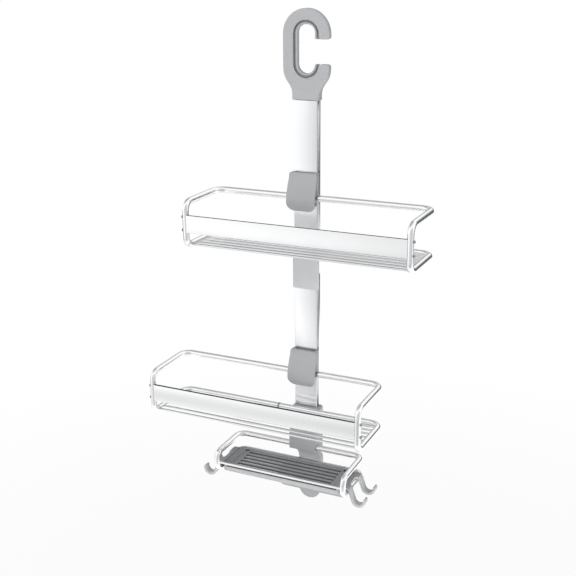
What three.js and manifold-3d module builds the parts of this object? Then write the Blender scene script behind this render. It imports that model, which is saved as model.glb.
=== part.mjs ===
// Shower caddy that hangs from a shower arm: a hook, a two-piece aluminium spine, two wire shelves
// that clamp at any height and slide sideways, and a soap tray with razor hooks.
// Millimetres. The origin is the middle of the seat, under the crown of the hook's liner, where the
// shower arm bears.
// +X is right, +Y points to the wall and +Z is up.
import * as THREE from 'three';
import { mergeVertices } from 'three/addons/utils/BufferGeometryUtils.js';
import Module from 'manifold-3d';

const wasm = await Module();
wasm.setup();

// Fits
const seatGap = 0.3;             // gap between pieces that seat on each other
const slideGap = 0.3;            // running clearance of everything that slides
const pinGap = 0.08;             // radial clearance round a hinge pin
const margin = 1;                // cuts run on by this much, and joined solids overlap by it

// Spine: two lengths of one aluminium extrusion
const railWidth = 32.6;
const railDepth = 12;
const railWall = 1.4;
const railCrown = 0.8;           // how far the front face bulges
const railCorner = 1.2;
const grooveWidth = 5.4;         // groove in each side, where the carriers' lips run
const grooveDepth = 2.4;
const frontFlange = 1.4;         // thickness of the rail's front edge, ahead of the groove
const upperRailLength = 228;
const lowerRailLength = 224;
const railSplit = 1;             // gap between the two lengths inside the joiner

// Hook: a flat arch with a soft liner in its slot
const hookDepth = 8.5;
const hookArm = 14;              // width of the arm round the liner
const hookEdge = 1.4;            // rounding of the hook's edges
const linerWidth = 5.5;          // from the arm to the slot
const linerBead = 3.4;           // width of the liner's thicker inner part
const linerBeadDepth = 6.4;
const linerWebDepth = 3.4;
const linerEdge = 0.8;
const slotWidth = 23.7;          // clear width inside the liner
const slotHeight = 59.8;
const seatWidth = 4;             // flat under the crown
const mouthDrop = 17.6;          // from the seat down to the mouth
const mouthHeight = 30.3;
const tipCorner = 3.5;
const linerCorner = 1.8;
const shoulderDrop = 51.5;       // from the seat down to where the neck starts to narrow
const neckDrop = 91.5;           // from the seat down to where the neck has its full depth
const collarDepth = 13.4;
const collarHeight = 1;          // straight length below the neck
const collarWall = 1.75;         // how far the collar stands beyond the rail at each side

// Tongues inside the rail, and the screws that hold them
const hookTongueLength = 40;
const spliceLength = 62;
const screwRadius = 2;
const screwHeadRadius = 3.4;
const screwHeadHeight = 1.8;
const screwEngagement = 3.5;     // length of thread in a tongue
const screwInset = 12;           // from a rail's end to its screw

// Joiner: a clip over the split
const joinerHeight = 41.5;
const joinerWall = 1.6;
const joinerLip = 1.6;           // thickness of the lips that hook into the side grooves

// Shelves: one bent tube, a wire floor and a front strip
const tubeRadius = 4.1;
const tubeStandoff = 6.5;         // from the rail's front to the tube's axis
const shelfWidth = 300;          // between tube axes
const shelfDepth = 86.6;
const shelfHeight = 57;
const weldGap = 0.4;             // between the tube's two ends, inside the weld
const weldLength = 3;
const weldProud = 0.3;
const cornerRadius = 14;         // bends of the back corners, at the tube's axis
const frontBendRadius = 12;
const floorWireRadius = 1.6;
const floorWireCount = 7;
const floorWirePitch = 11;
const stripHeight = 23;
const stripDrop = 16.2;          // from the upper tube's axis to the strip's top edge
const stripThickness = 2;
const stripSetback = 0.5;        // strip's face behind the front of the posts
const portRadius = 2.7;          // screw ports along the back of the strip
const portInset = 2.9;           // from the strip's edge to the middle of a port
const stripScrewRadius = 1.5;
const stripScrewLength = 16;
const stripHeadRadius = 2.6;
const stripHeadHeight = 1.6;

// Where the shelves are set
const upperShelfDrop = 215.5;    // from the seat down to the upper tube's axis
const lowerShelfDrop = 459.5;
const upperShelfOffset = 24.4;   // shelf's middle, right of the spine
const lowerShelfOffset = -37.5;

// Carrier that clamps a shelf to the rail
const carrierWall = 1.9;
const lipThickness = 2.2;
const carrierAbove = 31;         // above the tube's axis
const carrierBelow = 12;
const bossWall = 1.9;            // wall round the tube's bore
const faceThickness = 4.7;       // carrier's plate in front of the rail
const pinRadius = 1.2;
const hubWall = 1.2;
const hubHalfWidth = 13;
const pocketGap = 1.4;           // room round the hub in the carrier
const pinSink = 2.4;             // pin's axis below the carrier's top
const carrierToe = 2.5;          // rounding of the carrier's lower front edge

// Locking lever
const leverWidth = 39.8;
const leverTopWidth = 38.6;
const leverBelow = 17.5;         // lever's lower edge below the tube's axis
const leverWall = 2.6;
const leverBulge = 3.5;          // lever's face in front of the boss, at its fullest
const leverTopEdge = 2.5;         // lever's top above the pin's axis
const leverTopCorner = 1.5;
const leverShoulder = 7;         // from the lever's top down to where its face swells out
const leverRake = 0.5;           // how far the face leans out above the shoulder
const leverCurl = 3.2;           // how far the lower edge curls back
const leverCurlStart = 9;        // below the tube's axis
const leverWebReach = 1.5;       // web between the face and the hub
const leverWebHeight = 3.8;
const leverRibWidth = 11;        // rib that bears on the rail's pad
const leverRibHeight = 3;
const leverRibReach = 4;
const leverFootCorner = 10;
const padGap = 0.3;              // lever's rib clear of the pad when it is closed

// Brake pads
const railPadWidth = 16;
const railPadHeight = 10;
const railPadDrop = 13.5;        // pad's middle below the pin's axis
const tubePadWidth = 12;
const tubePadHeight = 6;
const padProud = 0.7;            // pads stand this far out of the carrier

// Foot: the moulding at the spine's lower end
const footSocketHeight = 33;     // socket for the rail's end
const footWall = 1.6;            // in front of the rail and behind it
const footWidth = 39.4;
const footChamfer = 2.6;
const footStep = 34;             // height of the deeper block that holds the soap frame
const soapBoreWall = 1.4;
const soapBoreDrop = 57.5;       // from the foot's top to the soap tube's axis
const footShell = 2.4;           // wall of the bar, which is open at the back
const legWidth = 32;
const legTopFace = -4;           // leg's face at its top, from the rail's middle plane
const legTopThickness = 7;
const legFace = 7;               // leg's face at its lower end
const legThickness = 11;         // at its lower end, up to the bar's face
const legSweep = 26;             // height over which the leg sweeps back from the block
const legEndDrop = 149.7;        // from the foot's top to the leg's round end
const barWidth = 112;
const barHeight = 30;
const barDepth = 7;
const barLift = 6.7;             // bar's lower edge above the leg's end
const barCorner = 12;
const cupInset = 19;             // from the bar's end to a suction cup's axis
const cupRadius = 17;
const cupDepth = 9;              // from the bar's back to the wall
const cupWall = 1.6;
const cupLip = 1.6;              // flat ring that bears on the wall
const studRadius = 3.2;
const studHeadRadius = 4.6;
const studHead = 1.6;

// Soap frame and tray
const soapWidth = 186.8;         // between tube axes
const soapDepth = 69.6;
const soapHeight = 24.5;
const soapCornerRadius = 12;
const soapBendRadius = 9;
const soapOffset = -6.5;
const guardWireRadius = 1.5;
const guardWireDrop = 15;        // below the upper tube's axis
const trayWall = 2;
const trayEndRim = 9;            // flat rim at each end
const trayHeight = 9.5;
const trayFloor = 3;
const trayFloorDrop = 3.5;       // tray's floor below its rim
const trayCorner = 6;
const traySideGap = 1.2;         // tray to the side tubes
const trayBackInset = 8;         // from the back tube's axis to the tray's back
const trayFrontGap = 0.6;        // tray to the front tube
const flangeThickness = 3.2;
const ribCount = 7;
const ribWidth = 2.2;
const ribHeight = 2.4;
const drainInset = 15;           // from the tray's ends to the drain slots
const drainMargin = 0.6;         // from a rib's side to a drain slot

// Razor hooks at the tray's ends
const razorBandWidth = 47;       // along Y
const razorSlot = 23;            // between the two prongs
const razorShank = 13;           // straight length between the curl over the tube and the bowl
const razorLean = 18 * (Math.PI / 180);
const razorBowl = 8.4;           // radius of the bowl at mid thickness
const razorLip = 1;              // straight length of the tip
const razorSlotStart = 1;        // slot's end, outwards of the side tube's axis
const razorSlotCorner = 7;

// Worked out from the sizes above
const railTop = -(neckDrop + collarHeight);
const upperRailEnd = railTop - upperRailLength;
const lowerRailTop = upperRailEnd - railSplit;
const lowerRailEnd = lowerRailTop - lowerRailLength;
const tubeY = -railDepth / 2 - tubeStandoff;
const grooveFront = -railDepth / 2 + railCrown + frontFlange;
const grooveBack = grooveFront + grooveWidth;
const tongueHalfWidth = railWidth / 2 - grooveDepth - railWall - seatGap;
const tongueBack = railDepth / 2 - railWall - seatGap;
const tongueFront = -(railDepth / 2 - railWall - railCrown - seatGap);

// Colours
const greyPlastic = new THREE.MeshStandardMaterial({ color: 0xc3c6ca, roughness: 0.5, metalness: 0 });
const leverPlastic = new THREE.MeshStandardMaterial({ color: 0xa9acb0, roughness: 0.45, metalness: 0 });
const trayPlastic = new THREE.MeshStandardMaterial({ color: 0x8c8f93, roughness: 0.55, metalness: 0 });
const aluminium = new THREE.MeshStandardMaterial({ color: 0xe9ebee, roughness: 0.35, metalness: 1 });
const steelTube = new THREE.MeshStandardMaterial({ color: 0xd9dbde, roughness: 0.2, metalness: 1 });
const darkSteel = new THREE.MeshStandardMaterial({ color: 0x8a8c90, roughness: 0.35, metalness: 1 });
const clearRubber = new THREE.MeshStandardMaterial({ color: 0xdfe3e6, roughness: 0.25, metalness: 0 });
const softGrey = new THREE.MeshStandardMaterial({ color: 0xa3a6aa, roughness: 0.65, metalness: 0 });
const rubber = new THREE.MeshStandardMaterial({ color: 0x3c3e41, roughness: 0.8, metalness: 0 });

// Solids
function solid(geometry) {
  const bare = geometry.clone();
  bare.deleteAttribute('normal');
  bare.deleteAttribute('uv');
  const welded = mergeVertices(bare, 1e-4);
  return new wasm.Manifold(new wasm.Mesh({
    numProp: 3,
    vertProperties: new Float32Array(welded.attributes.position.array),
    triVerts: new Uint32Array(welded.index.array),
  }));
}

function piece(name, body, material) {
  const { vertProperties, triVerts } = body.getMesh();
  const geometry = new THREE.BufferGeometry();
  geometry.setAttribute('position', new THREE.BufferAttribute(new Float32Array(vertProperties), 3));
  geometry.setIndex(new THREE.BufferAttribute(new Uint32Array(triVerts), 1));
  geometry.computeVertexNormals();
  const mesh = new THREE.Mesh(geometry, material);
  mesh.name = name;
  return mesh;
}

function union(bodies) {
  return bodies.reduce((whole, body) => whole.add(body));
}

function box(x0, x1, y0, y1, z0, z1) {
  const geometry = new THREE.BoxGeometry(x1 - x0, y1 - y0, z1 - z0);
  geometry.translate((x0 + x1) / 2, (y0 + y1) / 2, (z0 + z1) / 2);
  return solid(geometry);
}

// Round bar between two positions along one axis, centred on the other two
function round(axis, radius, from, to, centre, sides = 20) {
  const geometry = new THREE.CylinderGeometry(radius, radius, to - from, sides);
  const middle = (from + to) / 2;
  if (axis === 'x') geometry.rotateZ(-Math.PI / 2).translate(middle, centre[0], centre[1]);
  if (axis === 'y') geometry.translate(centre[0], middle, centre[1]);
  if (axis === 'z') geometry.rotateX(Math.PI / 2).translate(centre[0], centre[1], middle);
  return solid(geometry);
}

// Outline in X and Y, raised along Z
function raise(outline, z0, z1, curveSegments = 6) {
  const geometry = new THREE.ExtrudeGeometry(outline, { depth: z1 - z0, bevelEnabled: false, curveSegments });
  return solid(geometry.translate(0, 0, z0));
}

// Outline in X and Z, cut through along Y, with rounded edges where edge is given
function plate(outline, y0, y1, curveSegments = 8, edge = 0) {
  const geometry = new THREE.ExtrudeGeometry(outline, {
    depth: y1 - y0 - 2 * edge,
    bevelEnabled: edge > 0,
    bevelThickness: edge,
    bevelSize: edge,
    bevelOffset: -edge,
    bevelSegments: 2,
    curveSegments,
  });
  return solid(geometry.rotateX(Math.PI / 2).translate(0, y1 - edge, 0));
}

// Outline in Y and Z, drawn out along X
function drawn(outline, x0, x1, curveSegments = 6) {
  const geometry = new THREE.ExtrudeGeometry(outline, { depth: x1 - x0, bevelEnabled: false, curveSegments });
  const turn = new THREE.Matrix4().makeBasis(
    new THREE.Vector3(0, 1, 0),
    new THREE.Vector3(0, 0, 1),
    new THREE.Vector3(1, 0, 0),
  );
  return solid(geometry.applyMatrix4(turn).translate(x0, 0, 0));
}

function roundedRectangle(x0, x1, y0, y1, radius) {
  const shape = new THREE.Shape();
  shape.moveTo(x0 + radius, y0);
  shape.lineTo(x1 - radius, y0);
  shape.absarc(x1 - radius, y0 + radius, radius, -Math.PI / 2, 0);
  shape.lineTo(x1, y1 - radius);
  shape.absarc(x1 - radius, y1 - radius, radius, 0, Math.PI / 2);
  shape.lineTo(x0 + radius, y1);
  shape.absarc(x0 + radius, y1 - radius, radius, Math.PI / 2, Math.PI);
  shape.lineTo(x0, y0 + radius);
  shape.absarc(x0 + radius, y0 + radius, radius, Math.PI, 1.5 * Math.PI);
  return shape;
}

// Bent rod: straight runs between corners, each corner an arc of its own radius.
// Its stations are one per straight run and bendSteps per arc.
class BentPath extends THREE.Curve {
  constructor(corners, radii, bendSteps) {
    super();
    this.runs = [];
    let start = corners[0];
    corners.slice(1, -1).forEach((corner, i) => {
      const before = corner.clone().sub(corners[i]).normalize();
      const after = corners[i + 2].clone().sub(corner).normalize();
      const radius = radii[i];
      const reach = radius * Math.tan(before.angleTo(after) / 2);
      const arcStart = corner.clone().addScaledVector(before, -reach);
      const arcEnd = corner.clone().addScaledVector(after, reach);
      const normal = after.clone().addScaledVector(before, -after.dot(before)).normalize();
      const centre = arcStart.clone().addScaledVector(normal, radius);
      this.runs.push({ from: start, to: arcStart });
      for (let step = 0; step < bendSteps; step += 1) {
        this.runs.push({ centre, radius, before, normal, angle: before.angleTo(after), step, bendSteps });
      }
      start = arcEnd;
    });
    this.runs.push({ from: start, to: corners[corners.length - 1] });
  }

  get stations() {
    return this.runs.length;
  }

  getUtoTmapping(u) {
    return u;
  }

  getPoint(t) {
    const place = Math.min(Math.max(t, 0), 1) * this.runs.length;
    const index = Math.min(Math.floor(place), this.runs.length - 1);
    const run = this.runs[index];
    const share = place - index;
    if (run.from) return run.from.clone().lerp(run.to, share);
    const turn = (run.angle * (run.step + share)) / run.bendSteps;
    return run.centre.clone()
      .addScaledVector(run.normal, -run.radius * Math.cos(turn))
      .addScaledVector(run.before, run.radius * Math.sin(turn));
  }
}

function bentRod(corners, radii, radius, sides = 10, bendSteps = 3) {
  const path = new BentPath(corners, radii, bendSteps);
  const section = new THREE.Shape();
  section.absarc(0, 0, radius, 0, 2 * Math.PI);
  return solid(new THREE.ExtrudeGeometry(section, {
    extrudePath: path,
    steps: path.stations,
    curveSegments: sides / 2,
  }));
}

// Closed tube frame: a rectangle seen from above, and a C open at the back seen from the side.
// Its upper back tube lies on the X axis, and a weld joins its ends behind the floor.
function tubeLoop(width, depth, height, backRadius, frontRadius) {
  const x = width / 2;
  const corners = [
    [weldGap / 2, 0, -height],
    [x, 0, -height],
    [x, -depth, -height],
    [x, -depth, 0],
    [x, 0, 0],
    [-x, 0, 0],
    [-x, -depth, 0],
    [-x, -depth, -height],
    [-x, 0, -height],
    [-weldGap / 2, 0, -height],
  ].map((corner) => new THREE.Vector3(...corner));
  const side = [backRadius, frontRadius, frontRadius, backRadius];
  return bentRod(corners, [...side, ...side], tubeRadius)
    .add(round('x', tubeRadius + weldProud, -weldLength / 2, weldLength / 2, [0, -height], 12));
}

// Outline of the rail's front, back and plain sides, grown all round
function railOutline(grow = 0) {
  const x = railWidth / 2 + grow;
  const back = railDepth / 2 + grow;
  const edge = -railDepth / 2 + railCrown - grow;
  const shape = new THREE.Shape();
  shape.moveTo(-x, back - railCorner);
  shape.quadraticCurveTo(-x, back, -x + railCorner, back);
  shape.lineTo(x - railCorner, back);
  shape.quadraticCurveTo(x, back, x, back - railCorner);
  shape.lineTo(x, edge + railCorner);
  shape.quadraticCurveTo(x, edge, x - railCorner, edge);
  shape.quadraticCurveTo(0, edge - 2 * railCrown, -x + railCorner, edge);
  shape.quadraticCurveTo(-x, edge, -x, edge + railCorner);
  shape.closePath();
  return shape;
}

function railCavity() {
  const x = railWidth / 2 - railWall;
  const jog = x - grooveDepth;
  const back = railDepth / 2 - railWall;
  const front = -(railDepth / 2 - railWall - railCrown);
  const cavity = new THREE.Shape();
  const right = [[jog, front], [jog, grooveBack + railWall], [x, grooveBack + railWall], [x, back]];
  const left = right.map(([px, py]) => [-px, py]).reverse();
  cavity.setFromPoints([...right, ...left].map(([px, py]) => new THREE.Vector2(px, py)));
  return cavity;
}

// One length of rail, with screw holes through its back wall
function rail(z0, z1, screwHeights) {
  const groove = (side) => {
    const inner = side * (railWidth / 2 - grooveDepth);
    const ends = [inner, side * railWidth].sort((a, b) => a - b);
    return box(...ends, grooveFront, grooveBack, z0 - margin, z1 + margin);
  };
  const bar = raise(railOutline(), z0, z1).subtract(groove(1)).subtract(groove(-1));
  const hollow = bar.subtract(raise(railCavity(), z0 - margin, z1 + margin));
  return screwHeights.reduce(
    (body, z) => body.subtract(round('y', screwRadius + seatGap, 0, railDepth, [0, z], 16)),
    hollow,
  );
}

function tongue(z0, z1, screwHeights) {
  const bar = box(-tongueHalfWidth, tongueHalfWidth, tongueFront, tongueBack, z0, z1);
  return screwHeights.reduce(
    (body, z) => body.subtract(round('y', screwRadius + seatGap, 0, railDepth, [0, z], 16)),
    bar,
  );
}

// Domed screw whose head lies behind a face at y, with its shank running forwards
function backScrew(name, faceY, z) {
  const headY = faceY + seatGap;
  const shankEnd = tongueBack - screwEngagement;
  const profile = [
    new THREE.Vector2(0, shankEnd),
    new THREE.Vector2(screwRadius, shankEnd),
    new THREE.Vector2(screwRadius, headY),
    new THREE.Vector2(screwHeadRadius, headY),
    new THREE.Vector2(screwHeadRadius * 0.92, headY + screwHeadHeight * 0.6),
    new THREE.Vector2(screwHeadRadius * 0.6, headY + screwHeadHeight),
    new THREE.Vector2(0, headY + screwHeadHeight),
  ];
  const mesh = piece(name, solid(new THREE.LatheGeometry(profile, 12)), darkSteel);
  mesh.position.z = z;
  return mesh;
}

// Hook
const slotRadius = slotWidth / 2;
const archZ = -slotRadius;                            // middle of the arch
const floorZ = -slotHeight + slotRadius;              // middle of the slot's round floor
const mouthTop = -mouthDrop;
const mouthFloor = -mouthDrop - mouthHeight;
const linerRadius = slotRadius + linerWidth;
const archRadius = linerRadius + hookArm;
const collarX = railWidth / 2 + collarWall;

// The arm goes up from the neck, over the arch and down to the upper tip, then back along the slot
// to the lower tip
function hookOutline() {
  const bend = (neckDrop - shoulderDrop) * 0.55;
  const tipRise = mouthFloor - tipCorner - floorZ;
  const tipLean = Math.asin(tipRise / (linerRadius + tipCorner));
  const tipX = (linerRadius + tipCorner) * Math.cos(tipLean);
  const shape = new THREE.Shape();
  shape.moveTo(-collarX, railTop);
  shape.lineTo(-collarX, -neckDrop);
  shape.bezierCurveTo(
    -collarX, -neckDrop + bend, -archRadius, -shoulderDrop - bend, -archRadius, -shoulderDrop,
  );
  shape.lineTo(-archRadius, archZ);
  shape.absarc(0, archZ, archRadius, Math.PI, 0, true);
  shape.lineTo(archRadius, mouthTop + tipCorner);
  shape.absarc(archRadius - tipCorner, mouthTop + tipCorner, tipCorner, 0, -Math.PI / 2, true);
  shape.lineTo(linerRadius + tipCorner, mouthTop);
  shape.absarc(linerRadius + tipCorner, mouthTop + tipCorner, tipCorner, -Math.PI / 2, -Math.PI, true);
  shape.lineTo(linerRadius, archZ);
  shape.absarc(0, archZ, linerRadius, 0, Math.PI);
  shape.lineTo(-linerRadius, floorZ);
  shape.absarc(0, floorZ, linerRadius, Math.PI, 2 * Math.PI + tipLean);
  shape.absarc(tipX, mouthFloor - tipCorner, tipCorner, Math.PI + tipLean, Math.PI / 2, true);
  shape.lineTo(archRadius - tipCorner, mouthFloor);
  shape.absarc(archRadius - tipCorner, mouthFloor - tipCorner, tipCorner, Math.PI / 2, 0, true);
  shape.bezierCurveTo(archRadius, -shoulderDrop - bend, collarX, -neckDrop + bend, collarX, -neckDrop);
  shape.lineTo(collarX, railTop);
  shape.closePath();
  return shape;
}

// Side view of the neck, which swells from the arm's depth to the collar's
function neckSwell() {
  const thin = hookDepth / 2 - hookEdge / 2;
  const thick = collarDepth / 2;
  const swellTop = -linerRadius - slotHeight;
  const middle = (swellTop - neckDrop) / 2;
  const shape = new THREE.Shape();
  shape.moveTo(-thick, railTop);
  shape.lineTo(-thick, -neckDrop);
  shape.bezierCurveTo(-thick, middle, -thin, middle, -thin, swellTop);
  shape.lineTo(thin, swellTop);
  shape.bezierCurveTo(thin, middle, thick, middle, thick, -neckDrop);
  shape.lineTo(thick, railTop);
  shape.closePath();
  return shape;
}

const hookScrewZ = railTop - screwInset;

function hook() {
  const outline = hookOutline();
  const arm = plate(outline, -hookDepth / 2, hookDepth / 2, 6, hookEdge);
  const neck = plate(outline, -collarDepth / 2, collarDepth / 2, 6, hookEdge)
    .intersect(drawn(neckSwell(), -archRadius, archRadius));
  return union([arm, neck, tongue(railTop - hookTongueLength, railTop + collarHeight, [hookScrewZ])]);
}

// Band round the slot, from a radius out in the arm to the slot's own
function linerOutline(outer) {
  const crown = slotRadius - seatWidth / 2;
  const floorAngle = Math.asin((mouthFloor - floorZ) / outer);
  const cornerAngle = Math.asin((mouthFloor - linerCorner - floorZ) / slotRadius);
  const shape = new THREE.Shape();
  shape.moveTo(outer, mouthTop);
  shape.lineTo(outer, archZ);
  shape.absarc(0, archZ, outer, 0, Math.PI);
  shape.lineTo(-outer, floorZ);
  shape.absarc(0, floorZ, outer, Math.PI, 2 * Math.PI + floorAngle);
  shape.lineTo(slotRadius + linerCorner, mouthFloor);
  shape.quadraticCurveTo(
    slotRadius, mouthFloor, slotRadius * Math.cos(cornerAngle), mouthFloor - linerCorner,
  );
  shape.absarc(0, floorZ, slotRadius, 2 * Math.PI + cornerAngle, Math.PI, true);
  shape.lineTo(-slotRadius, -crown);
  shape.absarc(-seatWidth / 2, -crown, crown, Math.PI, Math.PI / 2, true);
  shape.lineTo(seatWidth / 2, 0);
  shape.absarc(seatWidth / 2, -crown, crown, Math.PI / 2, 0, true);
  shape.lineTo(slotRadius, mouthTop + linerCorner);
  shape.quadraticCurveTo(slotRadius, mouthTop, slotRadius + linerCorner, mouthTop);
  shape.closePath();
  return shape;
}

// Soft liner: a thin web against the arm and a thicker bead round the slot
function hookLiner() {
  const web = plate(linerOutline(linerRadius - seatGap), -linerWebDepth / 2, linerWebDepth / 2, 6);
  const bead = plate(
    linerOutline(slotRadius + linerBead), -linerBeadDepth / 2, linerBeadDepth / 2, 6, linerEdge,
  );
  return web.add(bead);
}

// Joiner: a clip outside and a splice bar inside
const upperSpliceScrewZ = upperRailEnd + screwInset + joinerHeight / 2;
const lowerSpliceScrewZ = lowerRailTop - screwInset - joinerHeight / 2;

// The clip covers the rail's front and its lips hook into the side grooves
function joinerClip() {
  const middle = upperRailEnd - railSplit / 2;
  const z0 = middle - joinerHeight / 2;
  const z1 = middle + joinerHeight / 2;
  const lipFront = grooveFront + seatGap;
  const lipBack = lipFront + joinerLip;
  const lipX = railWidth / 2 - grooveDepth + seatGap;
  const outside = raise(railOutline(seatGap + joinerWall), z0, z1)
    .subtract(box(-railWidth, railWidth, lipBack, railWidth, z0 - margin, z1 + margin));
  const lips = box(-railWidth, railWidth, lipFront, lipBack, z0 - margin, z1 + margin);
  const inside = raise(railOutline(seatGap), z0 - margin, z1 + margin)
    .subtract(lips)
    .add(box(-lipX, lipX, lipFront - margin, lipBack + margin, z0 - margin, z1 + margin));
  return outside.subtract(inside);
}

function spliceBar() {
  const middle = upperRailEnd - railSplit / 2;
  const reach = spliceLength / 2 + joinerHeight / 2;
  return tongue(middle - reach, middle + reach, [upperSpliceScrewZ, lowerSpliceScrewZ]);
}

// Foot moulding: sleeve, soap block, leg and cross bar in one
const footTop = lowerRailEnd + footSocketHeight;
const soapZ = footTop - soapBoreDrop;
const footScrewZ = lowerRailEnd + screwInset;
const barFace = legFace + legThickness;
const barBack = barFace + barDepth;
const legEnd = footTop - legEndDrop;
const barZ = legEnd + barLift + barHeight / 2;
const cupX = barWidth / 2 - cupInset;

function foot() {
  const blockBottom = soapZ - tubeRadius - slideGap - soapBoreWall;
  const blockFront = tubeY - tubeRadius - slideGap - soapBoreWall;
  const stepTop = blockBottom + footStep;
  const back = railDepth / 2 + seatGap + footWall;
  const front = -back;
  const half = footWidth / 2;
  const block = new THREE.Shape();
  block.moveTo(back, blockBottom);
  block.lineTo(back, footTop - footChamfer);
  block.lineTo(back - footWall, footTop);
  block.lineTo(front + footWall, footTop);
  block.lineTo(front, footTop - footChamfer);
  block.lineTo(front, stepTop);
  block.quadraticCurveTo(blockFront, stepTop - footChamfer, blockFront, stepTop - 4 * footChamfer);
  block.lineTo(blockFront, blockBottom + footWall);
  block.quadraticCurveTo(blockFront, blockBottom, blockFront + footWall, blockBottom);
  block.closePath();
  const face = new THREE.Shape();
  face.moveTo(-half, blockBottom);
  face.lineTo(-half, footTop - footChamfer);
  face.lineTo(-half + footChamfer, footTop);
  face.lineTo(half - footChamfer, footTop);
  face.lineTo(half, footTop - footChamfer);
  face.lineTo(half, blockBottom);
  face.closePath();
  const bracket = drawn(block, -half, half).intersect(plate(face, -railWidth, railWidth));
  const legTop = blockBottom + margin;
  const sweepEnd = legTop - legSweep;
  const halfSweep = legTop - legSweep / 2;
  const legTopBack = legTopFace + legTopThickness;
  const side = new THREE.Shape();
  side.moveTo(legTopFace, legTop);
  side.bezierCurveTo(legTopFace, halfSweep, legFace, halfSweep, legFace, sweepEnd);
  side.lineTo(legFace, legEnd - margin);
  side.lineTo(barFace + margin, legEnd - margin);
  side.lineTo(barFace + margin, sweepEnd);
  side.bezierCurveTo(barFace + margin, halfSweep, legTopBack, halfSweep, legTopBack, legTop);
  side.closePath();
  const outline = new THREE.Shape();
  outline.moveTo(-legWidth / 2, legTop + margin);
  outline.lineTo(-legWidth / 2, legEnd + legWidth / 2);
  outline.absarc(0, legEnd + legWidth / 2, legWidth / 2, Math.PI, 2 * Math.PI);
  outline.lineTo(legWidth / 2, legTop + margin);
  outline.closePath();
  const leg = drawn(side, -legWidth, legWidth).intersect(plate(outline, -railDepth, barBack, 8));
  const bar = (wall) => plate(roundedRectangle(
    -barWidth / 2 + wall, barWidth / 2 - wall, barZ - barHeight / 2 + wall, barZ + barHeight / 2 - wall,
    barCorner - wall,
  ), barFace + wall, barBack + wall, 6);
  const cupSeat = (x) => round('y', studHeadRadius + footShell, barFace, barBack, [x, barZ], 16);
  const whole = union([
    bracket,
    leg,
    bar(0).subtract(bar(footShell)),
    cupSeat(cupX),
    cupSeat(-cupX),
  ]);
  const studHole = (x) => union([
    round('y', studRadius + seatGap, barFace - margin, barBack + margin, [x, barZ], 16),
    round('y', studHeadRadius + seatGap, barFace - margin, barFace + studHead + seatGap, [x, barZ], 16),
  ]);
  const cuts = [
    raise(railOutline(seatGap), lowerRailEnd - seatGap, footTop + margin),
    round('x', tubeRadius + slideGap, -footWidth, footWidth, [tubeY, soapZ]),
    round('y', screwRadius + seatGap, 0, railDepth, [0, footScrewZ], 16),
    studHole(cupX),
    studHole(-cupX),
  ];
  return cuts.reduce((body, cut) => body.subtract(cut), whole);
}

function footPlug() {
  const socketFloor = lowerRailEnd;
  return tongue(socketFloor, socketFloor + footSocketHeight, [footScrewZ]);
}

// Suction cup with the stud that snaps through the bar
function suctionCup() {
  const seat = barBack + seatGap;
  const rim = barBack + cupDepth;
  const profile = [
    [0, barFace],
    [studHeadRadius, barFace],
    [studHeadRadius, barFace + studHead],
    [studRadius, barFace + studHead],
    [studRadius, seat],
    [studHeadRadius + footShell, seat],
    [studHeadRadius + footShell, seat + 1.5 * cupWall],
    [cupRadius * 0.75, rim - 1.8 * cupWall],
    [cupRadius, rim - 0.2 * cupWall],
    [cupRadius, rim],
    [cupRadius - cupLip, rim],
    [cupRadius * 0.75, rim - 0.7 * cupWall],
    [studHeadRadius, seat + 2 * cupWall],
    [0, seat + 2 * cupWall],
  ];
  return solid(new THREE.LatheGeometry(profile.map(([r, y]) => new THREE.Vector2(r, y)), 20));
}

// Carrier, lever, pin and pads, in axes at the middle of the tube where it crosses the spine
const railFrontY = tubeStandoff;                       // rail's front seen from the tube's axis
const carrierBackY = railFrontY - slideGap;
const carrierFrontY = carrierBackY - faceThickness;
const hubRadius = pinRadius + hubWall;
const pinY = carrierFrontY + hubRadius;
const pinZ = carrierAbove - pinSink;
const bossRadius = tubeRadius + slideGap + bossWall;
const railPadZ = pinZ - railPadDrop;
const sideWallX = railWidth / 2 + slideGap;
const carrierX = sideWallX + carrierWall;

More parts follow.
